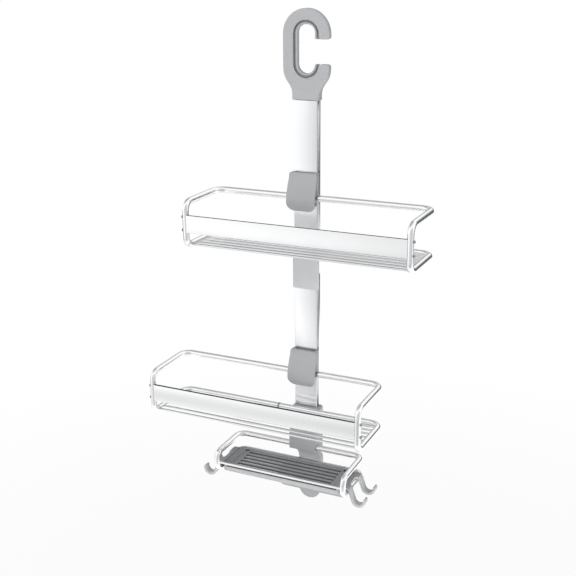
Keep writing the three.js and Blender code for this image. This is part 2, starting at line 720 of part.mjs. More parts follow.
function carrier() {
  const face = new THREE.Shape();
  face.moveTo(carrierBackY, -carrierBelow);
  face.lineTo(carrierBackY, pinZ + hubRadius);
  face.lineTo(pinY, pinZ + hubRadius);
  face.absarc(pinY, pinZ, hubRadius, Math.PI / 2, Math.PI);
  face.lineTo(carrierFrontY, -carrierBelow + carrierToe);
  face.quadraticCurveTo(carrierFrontY, -carrierBelow, carrierFrontY + carrierToe, -carrierBelow);
  face.closePath();
  const lipX = railWidth / 2 - grooveDepth + slideGap;
  const lipFront = grooveFront - tubeY + slideGap;
  const lipBack = lipFront + lipThickness;
  const cheek = (side) => {
    const wall = [
      [side * sideWallX, carrierFrontY],
      [side * carrierX, carrierFrontY],
      [side * carrierX, lipBack],
      [side * lipX, lipBack],
      [side * lipX, lipFront],
      [side * sideWallX, lipFront],
    ];
    return raise(new THREE.Shape(wall.map(([x, y]) => new THREE.Vector2(x, y))), -carrierBelow, pinZ);
  };
  const ear = (side) => {
    const ends = [side * sideWallX, side * carrierX].sort((a, b) => a - b);
    return box(...ends, pinY, lipBack, 0, pinZ + hubRadius);
  };
  const whole = union([
    drawn(face, -carrierX, carrierX),
    cheek(1),
    cheek(-1),
    ear(1),
    ear(-1),
    round('x', bossRadius, -carrierX, carrierX, [0, 0]),
  ]);
  const pocketHalfWidth = hubHalfWidth + slideGap;
  const pocket = round('x', hubRadius + pocketGap, -pocketHalfWidth, pocketHalfWidth, [pinY, pinZ]);
  const cuts = [
    round('x', tubeRadius + slideGap, -railWidth, railWidth, [0, 0]),
    box(-sideWallX, sideWallX, carrierBackY, lipFront, -railWidth, railWidth * 2),
    pocket,
    round('x', pinRadius + pinGap, -railWidth, railWidth, [pinY, pinZ], 16),
    box(
      -railPadWidth / 2 - seatGap, railPadWidth / 2 + seatGap, -railDepth, railDepth,
      railPadZ - railPadHeight / 2 - seatGap, railPadZ + railPadHeight / 2 + seatGap,
    ),
    box(
      -tubePadWidth / 2 - seatGap, tubePadWidth / 2 + seatGap, -railDepth, 0,
      -tubePadHeight / 2 - seatGap, tubePadHeight / 2 + seatGap,
    ),
  ];
  return cuts.reduce((body, cut) => body.subtract(cut), whole);
}

const railPadFront = carrierFrontY - padProud;
const tubePadFront = -bossRadius - padProud;

function railPad() {
  return box(
    -railPadWidth / 2, railPadWidth / 2, railPadFront, railFrontY - slideGap,
    railPadZ - railPadHeight / 2, railPadZ + railPadHeight / 2,
  );
}

function tubePad() {
  const block = box(
    -tubePadWidth / 2, tubePadWidth / 2, tubePadFront, -tubeRadius / 2, -tubePadHeight / 2, tubePadHeight / 2,
  );
  return block.subtract(round('x', tubeRadius + slideGap, -tubePadWidth, tubePadWidth, [0, 0]));
}

function leverSide() {
  const top = pinZ + leverTopEdge;
  const innerTop = carrierFrontY - slideGap;
  const fullest = -bossRadius - leverBulge;
  const middle = (innerTop + fullest) / 2;
  const inner = [
    [innerTop, top],
    [innerTop - leverRake, top - leverShoulder],
    [middle + leverWall / 2, pinZ / 2],
    [fullest + leverWall, tubePadHeight / 2],
    [fullest + leverWall, -leverCurlStart],
    [fullest + leverWall + leverCurl / 2, -leverBelow + leverWall / 2],
  ];
  const outer = [
    [fullest + leverCurl, -leverBelow],
    [fullest, -leverCurlStart],
    [fullest, 0],
    [middle - leverWall / 2, pinZ / 2],
    [innerTop - leverWall - leverRake, top - leverShoulder],
    [innerTop - leverWall + leverRake, top],
  ];
  const points = (list) => list.map(([y, z]) => new THREE.Vector2(y, z));
  const shape = new THREE.Shape();
  shape.moveTo(inner[0][0], inner[0][1]);
  shape.splineThru(points(inner.slice(1)));
  shape.lineTo(outer[0][0], outer[0][1]);
  shape.splineThru(points(outer.slice(1)));
  shape.closePath();
  return shape;
}

function leverFront() {
  const x = leverWidth / 2;
  const topX = leverTopWidth / 2;
  const top = pinZ + leverTopEdge;
  const foot = -leverBelow + leverFootCorner;
  const shape = new THREE.Shape();
  shape.moveTo(-x, foot);
  shape.lineTo(-x, pinZ / 2);
  shape.lineTo(-topX, top - leverTopCorner);
  shape.absarc(-topX + leverTopCorner, top - leverTopCorner, leverTopCorner, Math.PI, Math.PI / 2, true);
  shape.absarc(topX - leverTopCorner, top - leverTopCorner, leverTopCorner, Math.PI / 2, 0, true);
  shape.lineTo(x, pinZ / 2);
  shape.absarc(x - leverFootCorner, foot, leverFootCorner, 0, -Math.PI / 2, true);
  shape.absarc(-x + leverFootCorner, foot, leverFootCorner, -Math.PI / 2, -Math.PI, true);
  shape.closePath();
  return shape;
}

function lever() {
  const shell = drawn(leverSide(), -leverWidth / 2, leverWidth / 2, 3)
    .intersect(plate(leverFront(), -railWidth * 2, railWidth, 7));
  const hub = round('x', hubRadius, -hubHalfWidth, hubHalfWidth, [pinY, pinZ]);
  const web = box(
    -hubHalfWidth, hubHalfWidth, carrierFrontY - leverWebReach, pinY,
    pinZ - leverWebHeight / 2, pinZ + leverWebHeight / 2,
  );
  const rib = box(
    -leverRibWidth / 2, leverRibWidth / 2, railPadFront - padGap - leverRibReach, railPadFront - padGap,
    railPadZ - leverRibHeight / 2, railPadZ + leverRibHeight / 2,
  );
  return union([shell, hub, web, rib])
    .subtract(round('x', pinRadius + pinGap, -railWidth, railWidth, [pinY, pinZ], 16));
}

function leverPin() {
  return round('x', pinRadius, -carrierX, carrierX, [pinY, pinZ], 16);
}

// Front strip with a screw port behind each edge
const stripY = -shelfDepth - tubeRadius + stripSetback;
const stripTop = -stripDrop;
const stripBottom = -stripDrop - stripHeight;
const portHeights = [stripTop - portInset, stripBottom + portInset];

function stripScrewHoles() {
  return union(portHeights.map((z) => round(
    'x', stripScrewRadius + seatGap, -shelfWidth, shelfWidth, [-shelfDepth, z], 12,
  )));
}

function strip() {
  const reach = shelfWidth / 2 - tubeRadius - seatGap;
  const face = box(-reach, reach, stripY, stripY + stripThickness, stripBottom, stripTop);
  const ports = portHeights.map((z) => round('x', portRadius, -reach, reach, [-shelfDepth, z], 12));
  return union([face, ...ports]).subtract(stripScrewHoles());
}

// Bent tube with the wire floor welded into it
function shelfFrame() {
  const reach = shelfWidth / 2;
  const wires = Array.from({ length: floorWireCount }, (_, i) => round(
    'x', floorWireRadius, -reach, reach, [-(i + 1) * floorWirePitch, -shelfHeight], 8,
  ));
  return tubeLoop(shelfWidth, shelfDepth, shelfHeight, cornerRadius, frontBendRadius)
    .add(union(wires))
    .subtract(stripScrewHoles());
}

function stripScrew() {
  const head = shelfWidth / 2 + tubeRadius + seatGap;
  const profile = [
    new THREE.Vector2(0, head - stripScrewLength),
    new THREE.Vector2(stripScrewRadius, head - stripScrewLength),
    new THREE.Vector2(stripScrewRadius, head),
    new THREE.Vector2(stripHeadRadius, head),
    new THREE.Vector2(stripHeadRadius * 0.85, head + stripHeadHeight * 0.65),
    new THREE.Vector2(stripHeadRadius * 0.4, head + stripHeadHeight),
    new THREE.Vector2(0, head + stripHeadHeight),
  ];
  return solid(new THREE.LatheGeometry(profile, 10).rotateZ(-Math.PI / 2));
}

// Soap frame and tray, in axes at the middle of the frame's upper back tube
const trayRim = -soapHeight + tubeRadius + seatGap + flangeThickness;
const trayEnd = soapWidth / 2 - tubeRadius - traySideGap;
const trayFront = -soapDepth + tubeRadius + trayFrontGap;
const trayBack = -trayBackInset;
const trayBottom = trayRim - trayHeight;

function soapFrame() {
  const reach = soapWidth / 2;
  return tubeLoop(soapWidth, soapDepth, soapHeight, soapCornerRadius, soapBendRadius)
    .add(round('x', guardWireRadius, -reach, reach, [-soapDepth, -guardWireDrop], 10));
}

// Side view of the flange and razor hook at the tray's right end, which curls over the side tube
function razorBand() {
  const half = flangeThickness / 2;
  const curl = tubeRadius + seatGap + half;
  const curlX = soapWidth / 2;
  const curlZ = -soapHeight;
  const across = curl + razorBowl;
  const bowlX = curlX + across * Math.cos(razorLean) + razorShank * Math.sin(razorLean);
  const bowlZ = curlZ + across * Math.sin(razorLean) - razorShank * Math.cos(razorLean);
  const tipX = bowlX + razorBowl;
  const tipZ = bowlZ + razorLip;
  const start = Math.PI + razorLean;
  const shape = new THREE.Shape();
  shape.moveTo(trayEnd - margin, trayRim);
  shape.lineTo(curlX, trayRim);
  shape.absarc(curlX, curlZ, curl + half, Math.PI / 2, razorLean, true);
  shape.absarc(bowlX, bowlZ, razorBowl - half, start, 2 * Math.PI);
  shape.lineTo(tipX - half, tipZ);
  shape.absarc(tipX, tipZ, half, Math.PI, 0, true);
  shape.lineTo(tipX + half, bowlZ);
  shape.absarc(bowlX, bowlZ, razorBowl + half, 2 * Math.PI, start, true);
  shape.absarc(curlX, curlZ, curl - half, razorLean, Math.PI / 2);
  shape.lineTo(trayEnd - margin, trayRim - flangeThickness);
  shape.closePath();
  return shape;
}

function tray() {
  const pan = roundedRectangle(-trayEnd, trayEnd, trayFront, trayBack, trayCorner);
  const insideX = trayEnd - trayEndRim;
  const inside = roundedRectangle(
    -insideX, insideX, trayFront + trayWall, trayBack - trayWall, trayCorner - trayWall,
  );
  const floorTop = trayRim - trayFloorDrop;
  const floorBottom = floorTop - trayFloor;
  const ribReach = insideX + margin;
  const pitch = (trayBack - trayFront - 2 * trayWall) / (ribCount + 1);
  const ribY = (i) => trayFront + trayWall + pitch * i;
  const ribs = Array.from({ length: ribCount }, (_, i) => box(
    -ribReach, ribReach, ribY(i + 1) - ribWidth / 2, ribY(i + 1) + ribWidth / 2,
    floorTop - margin, floorTop + ribHeight,
  ));
  const drainReach = trayEnd - drainInset;
  const drainY = ribWidth / 2 + drainMargin;
  const drains = Array.from({ length: ribCount - 1 }, (_, i) => box(
    -drainReach, drainReach, ribY(i + 1) + drainY, ribY(i + 2) - drainY, floorBottom - margin, floorTop + margin,
  ));
  const bandFront = (trayFront + trayBack) / 2 - razorBandWidth / 2;
  const bandBack = bandFront + razorBandWidth;
  const slotFront = (bandFront + bandBack) / 2 - razorSlot / 2;
  const slotX = soapWidth / 2 + razorSlotStart;
  const slot = roundedRectangle(slotX, slotX * 2, slotFront, slotFront + razorSlot, razorSlotCorner);
  const rightBand = plate(razorBand(), bandFront, bandBack, 4)
    .subtract(raise(slot, -soapWidth, trayRim + margin, 3));
  const bands = [rightBand, rightBand.mirror([1, 0, 0])];
  return raise(pan, trayBottom, trayRim)
    .subtract(raise(inside, floorTop, trayRim + margin))
    .subtract(raise(inside, trayBottom - margin, floorBottom))
    .add(union(ribs))
    .subtract(union(drains))
    .add(union(bands));
}

// Assembly
const caddy = new THREE.Group();
const spine = new THREE.Group();
spine.add(
  piece('hook', hook(), greyPlastic),
  piece('hook_liner', hookLiner(), softGrey),
  piece('upper_rail', rail(upperRailEnd, railTop - seatGap, [hookScrewZ, upperSpliceScrewZ]), aluminium),
  piece('lower_rail', rail(lowerRailEnd, lowerRailTop, [lowerSpliceScrewZ, footScrewZ]), aluminium),
  piece('joiner_clip', joinerClip(), greyPlastic),
  piece('splice_bar', spliceBar(), aluminium),
  piece('foot', foot(), greyPlastic),
  piece('foot_plug', footPlug(), greyPlastic),
  backScrew('hook_screw', railDepth / 2, hookScrewZ),
  backScrew('upper_splice_screw', railDepth / 2, upperSpliceScrewZ),
  backScrew('lower_splice_screw', railDepth / 2, lowerSpliceScrewZ),
  backScrew('foot_screw', railDepth / 2 + seatGap + footWall, footScrewZ),
);
for (const [name, x] of [['suction_cup_left', -cupX], ['suction_cup_right', cupX]]) {
  const mesh = piece(name, suctionCup(), clearRubber);
  mesh.position.set(x, 0, barZ);
  spine.add(mesh);
}
caddy.add(spine);

for (const [level, drop, offset] of [
  ['upper', upperShelfDrop, upperShelfOffset],
  ['lower', lowerShelfDrop, lowerShelfOffset],
]) {
  const clamp = new THREE.Group();
  clamp.position.set(0, tubeY, -drop);
  clamp.add(
    piece(`${level}_carrier`, carrier(), greyPlastic),
    piece(`${level}_lever`, lever(), leverPlastic),
    piece(`${level}_lever_pin`, leverPin(), darkSteel),
    piece(`${level}_rail_pad`, railPad(), rubber),
    piece(`${level}_tube_pad`, tubePad(), rubber),
  );
  const shelf = new THREE.Group();
  shelf.position.set(offset, tubeY, -drop);
  shelf.add(
    piece(`${level}_shelf_frame`, shelfFrame(), steelTube),
    piece(`${level}_shelf_strip`, strip(), aluminium),
  );
  for (const [side, turn] of [['right', 0], ['left', Math.PI]]) {
    for (const [place, z] of [['top', portHeights[0]], ['bottom', portHeights[1]]]) {
      const screw = piece(`${level}_strip_screw_${side}_${place}`, stripScrew(), darkSteel);
      screw.position.set(0, -shelfDepth, z);
      screw.rotation.z = turn;
      shelf.add(screw);
    }
  }
  caddy.add(clamp, shelf);
}

const soap = new THREE.Group();
soap.position.set(soapOffset, tubeY, soapZ);
soap.add(
  piece('soap_frame', soapFrame(), steelTube),
  piece('soap_tray', tray(), trayPlastic),
);
caddy.add(soap);

export default caddy;
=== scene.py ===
import math

import bmesh
import bpy
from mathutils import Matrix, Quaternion, Vector


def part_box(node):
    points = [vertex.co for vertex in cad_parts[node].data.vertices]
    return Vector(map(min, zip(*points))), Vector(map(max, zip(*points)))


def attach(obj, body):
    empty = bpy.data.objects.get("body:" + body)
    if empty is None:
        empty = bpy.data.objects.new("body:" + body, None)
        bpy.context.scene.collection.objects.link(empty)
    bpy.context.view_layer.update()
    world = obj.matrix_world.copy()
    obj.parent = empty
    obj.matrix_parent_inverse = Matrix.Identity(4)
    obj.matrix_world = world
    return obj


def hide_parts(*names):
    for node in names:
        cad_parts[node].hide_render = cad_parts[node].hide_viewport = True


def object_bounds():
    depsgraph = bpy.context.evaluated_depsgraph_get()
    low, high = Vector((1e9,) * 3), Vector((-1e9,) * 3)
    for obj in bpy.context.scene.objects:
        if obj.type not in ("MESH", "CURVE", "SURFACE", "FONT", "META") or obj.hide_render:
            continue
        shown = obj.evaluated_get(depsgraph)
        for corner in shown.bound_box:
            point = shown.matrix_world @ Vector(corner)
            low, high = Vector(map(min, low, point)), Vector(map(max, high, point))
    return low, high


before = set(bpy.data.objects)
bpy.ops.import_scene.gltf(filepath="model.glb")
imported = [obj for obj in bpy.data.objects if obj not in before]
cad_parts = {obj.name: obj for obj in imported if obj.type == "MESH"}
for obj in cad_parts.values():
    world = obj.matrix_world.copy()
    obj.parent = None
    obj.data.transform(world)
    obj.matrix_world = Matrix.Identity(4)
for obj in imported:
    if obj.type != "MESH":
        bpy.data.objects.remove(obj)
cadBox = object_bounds()
scene = bpy.context.scene
mm = 0.001
levels = ("upper", "lower")

# Sizes that several pieces share, in millimetres, and angles in degrees
common = {"tubeRadius": 4.1, "seatGap": 0.3, "slideGap": 0.3, "mergeDistance": 0.004, "smoothAngle": 34,
          "flatAngle": 0.6}
# How far a cutting shape reaches past what it cuts, and a distance too small to see
past, near = 60, 0.01


# Mesh helpers. Pieces are drawn in millimetres and linked in metres.
def box(node):
    low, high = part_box(node)
    return low / mm, high / mm


def newObject(name, data):
    obj = bpy.data.objects.new(name, data)
    scene.collection.objects.link(obj)
    return obj


def smooth(obj):
    obj.data.shade_smooth()
    obj.data.set_sharp_from_angle(angle=math.radians(common["smoothAngle"]))
    return obj


def link(name, bm, at=(0, 0, 0)):
    bmesh.ops.translate(bm, verts=bm.verts, vec=at)
    bmesh.ops.remove_doubles(bm, verts=bm.verts, dist=common["mergeDistance"])
    bmesh.ops.recalc_face_normals(bm, faces=bm.faces)
    bmesh.ops.scale(bm, verts=bm.verts, vec=(mm, mm, mm))
    mesh = bpy.data.meshes.new(name)
    bm.to_mesh(mesh)
    bm.free()
    return smooth(newObject(name, mesh))


# Replaces the object's mesh by what its modifiers make of it
def settle(obj):
    graph = bpy.context.evaluated_depsgraph_get()
    graph.update()
    old = obj.data
    obj.data = bpy.data.meshes.new_from_object(obj.evaluated_get(graph), depsgraph=graph)
    obj.modifiers.clear()
    bpy.data.meshes.remove(old)
    return obj


def combine(operation, obj, *tools):
    for tool in tools:
        modifier = obj.modifiers.new(operation.lower(), "BOOLEAN")
        modifier.operation = operation
        modifier.solver = "EXACT"
        modifier.object = tool
    settle(obj)
    for tool in tools:
        bpy.data.objects.remove(tool)
    bm = bmesh.new()
    bm.from_mesh(obj.data)
    bmesh.ops.remove_doubles(bm, verts=bm.verts, dist=common["mergeDistance"] * mm)
    bmesh.ops.dissolve_degenerate(bm, edges=bm.edges, dist=common["mergeDistance"] * mm)
    bmesh.ops.dissolve_limit(bm, angle_limit=math.radians(common["flatAngle"]), verts=bm.verts, edges=bm.edges)
    bm.to_mesh(obj.data)
    bm.free()
    return obj


# Rounds the edges that are sharper than an angle
def soften(obj, width, segments, angle):
    modifier = obj.modifiers.new("soft edges", "BEVEL")
    modifier.width = width * mm
    modifier.segments = segments
    modifier.limit_method = "ANGLE"
    modifier.angle_limit = math.radians(angle)
    return smooth(settle(obj))


def merge(obj, *others):
    bm = bmesh.new()
    bm.from_mesh(obj.data)
    for other in others:
        bm.from_mesh(other.data)
        bpy.data.objects.remove(other)
    bm.to_mesh(obj.data)
    bm.free()
    return smooth(obj)


def dress(obj, body, slot, *nodes, finish=None):
    obj.data.materials.clear()
    obj.data.materials.append(finishes[finish or slot])
    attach(obj, body)
    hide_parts(*nodes)
    return obj


# Gives the faces that a test chooses a finish of their own
def paintFaces(obj, finish, chosen):
    obj.data.materials.append(finishes[finish])
    last = len(obj.data.materials) - 1
    for face in obj.data.polygons:
        if chosen(face.center / mm, face.normal):
            face.material_index = last


# Drawing helpers
def mirror(points):
    return [(-u, v) for u, v in reversed(points)]


def arc(centreU, centreV, radius, start, end, steps):
    turns = (math.radians(start + (end - start) * i / steps) for i in range(steps + 1))
    return [(centreU + radius * math.cos(t), centreV + radius * math.sin(t)) for t in turns]


def bezier(a, b, c, d, steps):
    points = []
    for i in range(steps + 1):
        t = i / steps
        weights = ((1 - t) ** 3, 3 * t * (1 - t) ** 2, 3 * t * t * (1 - t), t ** 3)
        points.append(tuple(sum(w * p[k] for w, p in zip(weights, (a, b, c, d))) for k in (0, 1)))
    return points


# Smooth line through points
def spline(points, steps):
    line = []
    for i in range(len(points) - 1):
        before = points[max(i - 1, 0)]
        start, end = points[i], points[i + 1]
        after = points[min(i + 2, len(points) - 1)]
        leave = [start[k] + (end[k] - before[k]) / 6 for k in (0, 1)]
        arrive = [end[k] - (after[k] - start[k]) / 6 for k in (0, 1)]
        line += bezier(start, leave, arrive, end, steps)[:-1]
    return line + [points[-1]]


def roundedRectangle(u0, u1, v0, v1, radius, steps):
    corners = ((u1 - radius, v1 - radius), (u0 + radius, v1 - radius),
               (u0 + radius, v0 + radius), (u1 - radius, v0 + radius))
    return [point for i, (u, v) in enumerate(corners) for point in arc(u, v, radius, 90 * i, 90 * i + 90, steps)]


# Point in space of a drawn point, w along the axis
def inSpace(axis, u, v, w):
    return {"x": (w, u, v), "y": (u, w, v), "z": (u, v, w)}[axis]


def joinRings(bm, a, b):
    for i in range(len(a)):
        bm.faces.new((a[i - 1], a[i], b[i], b[i - 1]))


# Outline raised along one axis, with an optional hole through it
def prism(outline, axis, low, high, hole=None):
    bm = bmesh.new()
    loops = [outline, hole] if hole else [outline]
    pairs = [[[bm.verts.new(inSpace(axis, u, v, w)) for u, v in loop] for w in (low, high)] for loop in loops]
    for pair in pairs:
        joinRings(bm, *pair)
    for rings in zip(*pairs):
        if hole:
            edges = [bm.edges.get((ring[i - 1], ring[i])) for ring in rings for i in range(len(ring))]
            bmesh.ops.triangle_fill(bm, use_beauty=True, edges=edges)
        else:
            bm.faces.new(rings[0])
    return bm


def rod(axis, radius, low, high, centreU, centreV, steps=48):
    return prism(arc(centreU, centreV, radius, 0, 360, steps)[:-1], axis, low, high)


# Profile of radius and height, turned round an axis
def lathe(profile, axis, centre, steps):
    bm = bmesh.new()
    rings = []
    for radius, height in profile:
        circle = arc(0, 0, radius, 0, 360, steps)[:-1] if radius else [(0, 0)]
        rings.append([bm.verts.new(inSpace(axis, u, v, height)) for u, v in circle])
    for a, b in zip(rings, rings[1:]):
        for i in range(steps):
            places = ((a, i - 1), (a, i), (b, i), (b, i - 1))
            bm.faces.new(list(dict.fromkeys(ring[j % len(ring)] for ring, j in places)))
    bmesh.ops.translate(bm, verts=bm.verts, vec=centre)
    return bm


# Node helpers. An input takes a node, a socket or a plain value.
def add(tree, kind, inputs=None, **settings):
    node = tree.nodes.new(kind)
    for key, value in settings.items():
        setattr(node, key, value)
    for key, value in (inputs or {}).items():
        if isinstance(value, bpy.types.Node):
            value = value.outputs[0]
        if isinstance(value, bpy.types.NodeSocket):
            tree.links.new(value, node.inputs[key])
        else:
            node.inputs[key].default_value = value
    return node


def maths(tree, operation, *values, kind=""):
    return add(tree, f"ShaderNode{kind}Math", dict(enumerate(values)), operation=operation)


def product(tree, level, *others):
    for other in others:
        level = maths(tree, "MULTIPLY", level, other)
    return level


def remap(tree, value, start, end, low, high, **settings):
    return add(tree, "ShaderNodeMapRange", {"Value": value, "From Min": start, "From Max": end, "To Min": low,
                                            "To Max": high}, **settings)


def newTree(name, **inputs):
    tree = bpy.data.node_groups.new(name, "GeometryNodeTree")
    sockets = [("Geometry", "INPUT", "Geometry"), *((label, "INPUT", kind) for label, kind in inputs.items()),
               ("Geometry", "OUTPUT", "Geometry")]
    for label, way, kind in sockets:
        tree.interface.new_socket(label, in_out=way, socket_type="NodeSocket" + kind)
    return tree, add(tree, "NodeGroupInput").outputs


# Ends a tree in a plain mesh with its finish
def closeTree(tree, geometry, material):
    real = add(tree, "GeometryNodeRealizeInstances", {"Geometry": geometry})
    painted = add(tree, "GeometryNodeSetMaterial", {"Geometry": real, "Material": material})
    add(tree, "NodeGroupOutput", {"Geometry": painted})


def grow(obj, tree, **values):
    modifier = obj.modifiers.new(tree.name, "NODES")
    modifier.node_group = tree
    for item in tree.interface.items_tree:
        if item.in_out == "INPUT" and item.name in values:
            modifier[item.identifier] = values[item.name]
    return smooth(settle(obj))


# Points and edges with one value at each point, for a tree to grow on
def sketch(name, points, edges, label, kind, field, values):
    mesh = bpy.data.meshes.new(name)
    mesh.from_pydata([Vector(p) * mm for p in points], edges, [])
    mesh.attributes.new(label, kind, "POINT").data.foreach_set(field, values)
    return newObject(name, mesh)


# Finishes
plastics = {
    "grey_plastic": {"tone": (0.45, 0.457, 0.471), "mottle": 0.02, "roughness": 0.38, "grain": 1500, "depth": 0.02},
    "clip_plastic": {"tone": (0.6, 0.607, 0.62), "mottle": 0.02, "roughness": 0.36, "grain": 1500, "depth": 0.02},
    "lever_plastic": {"tone": (0.42, 0.426, 0.438), "mottle": 0.02, "roughness": 0.4, "grain": 1500, "depth": 0.02},
    "tray_plastic": {"tone": (0.54, 0.546, 0.558), "mottle": 0.025, "roughness": 0.42, "grain": 1300,
                     "depth": 0.03},
    # Darker copy of the tray plastic, painted on its up-facing faces as shade
    "shaded_tray_top": {"tone": (0.33, 0.335, 0.343), "mottle": 0.03, "roughness": 0.5, "grain": 1100, "depth": 0.08},
    # Near-black finish painted on the drain and hole walls as shade
    "drain_shade": {"tone": (0.11, 0.112, 0.116), "mottle": 0.04, "roughness": 0.55, "grain": 1100,
                     "depth": 0.12, "recessShade": 0.08},
    "liner_rubber": {"tone": (0.42, 0.426, 0.438), "mottle": 0.05, "roughness": 0.6, "grain": 2100, "depth": 0.04},
    "pad_rubber": {"tone": (0.034, 0.034, 0.036), "mottle": 0.15, "roughness": 0.8, "grain": 1800, "depth": 0.2},
    "cup_rubber": {"tone": (0.66, 0.69, 0.7), "mottle": 0.04, "roughness": 0.3, "grain": 900, "depth": 0.03},
}
metals = {
    "rail_aluminium": {"tone": (0.91, 0.916, 0.925), "roughness": 0.24, "spread": 0.03,
                       "stretch": (900, 900, 9), "depth": 0.008, "brushed": 0.35},
    "strip_aluminium": {"tone": (0.95, 0.955, 0.962), "roughness": 0.28, "spread": 0.02,
                        "stretch": (9, 700, 700), "depth": 0.006, "brushed": 0.35},
    "tube_steel": {"tone": (0.92, 0.925, 0.935), "roughness": 0.25, "spread": 0.012,
                   "stretch": (160, 160, 160), "depth": 0.004},
    # Darker, glossier copy of the tube steel, painted on the floor wires as the shade between them
    "shaded_wire_steel": {"tone": (0.74, 0.745, 0.755), "roughness": 0.1, "spread": 0.012,
                   "stretch": (160, 160, 160), "depth": 0.004},
    # Near-black finish painted on the strips' top and bottom faces as shade
    "strip_edge_shade": {"tone": (0.11, 0.11, 0.115), "roughness": 0.5, "spread": 0.06,
                      "stretch": (60, 1800, 1800), "depth": 0.1},
    "weld_steel": {"tone": (0.4, 0.4, 0.42), "roughness": 0.42, "spread": 0.05,
                   "stretch": (900, 900, 900), "depth": 0.12},
    "screw_steel": {"tone": (0.42, 0.42, 0.43), "roughness": 0.34, "spread": 0.06,
                    "stretch": (500, 500, 500), "depth": 0.03},
}
# How far and how strongly shade is painted into recesses, for plastics and for metals
recessShade = {"reach": 0.006, "samples": 8, "from": 0.15, "to": 0.85, "plastic": 0.5, "metal": 0.8}
# Scale, detail and roughness of each noise. The grain's scale comes from its finish.
noises = {"flow": (38, 4, 0.6), "gloss": (210, 3, 0.65), "grain": (2, 0.5), "streaks": (1, 5, 0.62),
          "cloud": (24, 3, 0.5)}
surfaces = {"contrast": (0.3, 0.7), "bumpHeight": 0.0002, "plasticGloss": (-0.04, 0.05), "specular": 0.4,
            "streakTint": 0.012, "metalGloss": (-0.015, 0.015)}


def newMaterial(name):
    material = bpy.data.materials.new(name)
    material.use_nodes = True
    tree = material.node_tree
    tree.nodes.clear()
    return material, tree, add(tree, "ShaderNodeTexCoord").outputs["Object"]


def noise(tree, place, scale, detail, roughness):
    return add(tree, "ShaderNodeTexNoise", {"Vector": place, "Scale": scale, "Detail": detail,
                                            "Roughness": roughness})


def shade(tree, pattern, low, high):
    return remap(tree, pattern, *surfaces["contrast"], low, high)


# Roughness that wanders a little either way of the finish's own
def uneven(tree, pattern, look, limits):
    return shade(tree, pattern, *(look["roughness"] + limit for limit in limits))


def tint(tree, pattern, tone, change):
    dark, light = ((*(c * (1 + way) for c in tone), 1) for way in (-change, change))
    mix = add(tree, "ShaderNodeMix", {0: shade(tree, pattern, 0, 1), 6: dark, 7: light}, data_type="RGBA")
    return mix.outputs[2]


# Paints shade into a tone in grooves and corners, darker where the surface is more enclosed
def shadedInRecesses(tree, colour, darkest):
    open_ = add(tree, "ShaderNodeAmbientOcclusion", {"Distance": recessShade["reach"]}, samples=recessShade["samples"])
    level = remap(tree, open_.outputs["AO"], recessShade["from"], recessShade["to"], darkest, 1)
    return maths(tree, "MULTIPLY", colour, level, kind="Vector")


def closeMaterial(tree, colour, roughness, height, look, extra):
    bump = add(tree, "ShaderNodeBump", {"Height": height, "Strength": look["depth"],
                                        "Distance": surfaces["bumpHeight"]})
    shader = add(tree, "ShaderNodeBsdfPrincipled", {"Base Color": colour, "Roughness": roughness, "Normal": bump,
                                                    **extra})
    add(tree, "ShaderNodeOutputMaterial", {"Surface": shader})


# Moulded plastic or rubber: faint flow marks, a matt grain, uneven gloss and painted shade in its recesses
def moulded(name, look):
    material, tree, place = newMaterial(name)
    flow, gloss = (noise(tree, place, *noises[pattern]) for pattern in ("flow", "gloss"))
    grain = noise(tree, place, look["grain"], *noises["grain"])
    colour = shadedInRecesses(tree, tint(tree, flow, look["tone"], look["mottle"]), look.get("recessShade", recessShade["plastic"]))
    closeMaterial(tree, colour, uneven(tree, gloss, look, surfaces["plasticGloss"]), grain, look,
                  {"Specular IOR Level": surfaces["specular"]})
    return material


# Metal: streaks along its length, or a fine even haze, with painted shade in its recesses
def metal(name, look):
    material, tree, place = newMaterial(name)
    stretched = add(tree, "ShaderNodeMapping", {"Vector": place, "Scale": look["stretch"]})
    streaks = noise(tree, stretched, *noises["streaks"])
    cloud = noise(tree, place, *noises["cloud"])
    colour = shadedInRecesses(tree, tint(tree, streaks, look["tone"], surfaces["streakTint"]), recessShade["metal"])
    rough = maths(tree, "ADD", shade(tree, streaks, -look["spread"], look["spread"]),
                  uneven(tree, cloud, look, surfaces["metalGloss"]))
    closeMaterial(tree, colour, rough, streaks, look, {"Metallic": 1, "Anisotropic": look.get("brushed", 0)})
    return material


finishes = {name: moulded(name, look) for name, look in plastics.items()}
finishes.update({name: metal(name, look) for name, look in metals.items()})
print("finishes made")

# Camera, lamps, room and floor
view = {"from": (0.5217, -1.1796, 0.0750), "at": (-0.0230, -0.0120, -0.3422), "lens": 63.2, "roll": -0.43,
        "sensor": 36}
lamps = {
    "key": {"at": (-1.6, -1.9, 1.3), "size": 1.1, "power": 20},
    "fill": {"at": (1.2, -2.2, -0.7), "size": 1.4, "power": 15},
    "lowSide": {"at": (1.1, -0.45, -0.7), "size": 0.5, "power": 3.6},
}


def aimed(start, end):
    return (Vector(end) - Vector(start)).to_track_quat("-Z", "Y")


camera = newObject("camera", bpy.data.cameras.new("camera"))
camera.location = view["from"]
roll = Quaternion((0, 0, 1), math.radians(view["roll"]))
camera.rotation_euler = (aimed(view["from"], view["at"]) @ roll).to_euler()
camera.data.lens = view["lens"]
camera.data.sensor_width = view["sensor"]
scene.camera = camera
scene.view_settings.view_transform = "Standard"
for name, lamp in lamps.items():
    light = bpy.data.lights.new(name, "AREA")
    light.energy = lamp["power"]
    light.size = lamp["size"]
    holder = newObject(name, light)
    holder.location = lamp["at"]
    holder.visible_glossy = holder.visible_camera = False
    holder.rotation_euler = aimed(lamp["at"], (cadBox[0] + cadBox[1]) / 2).to_euler()

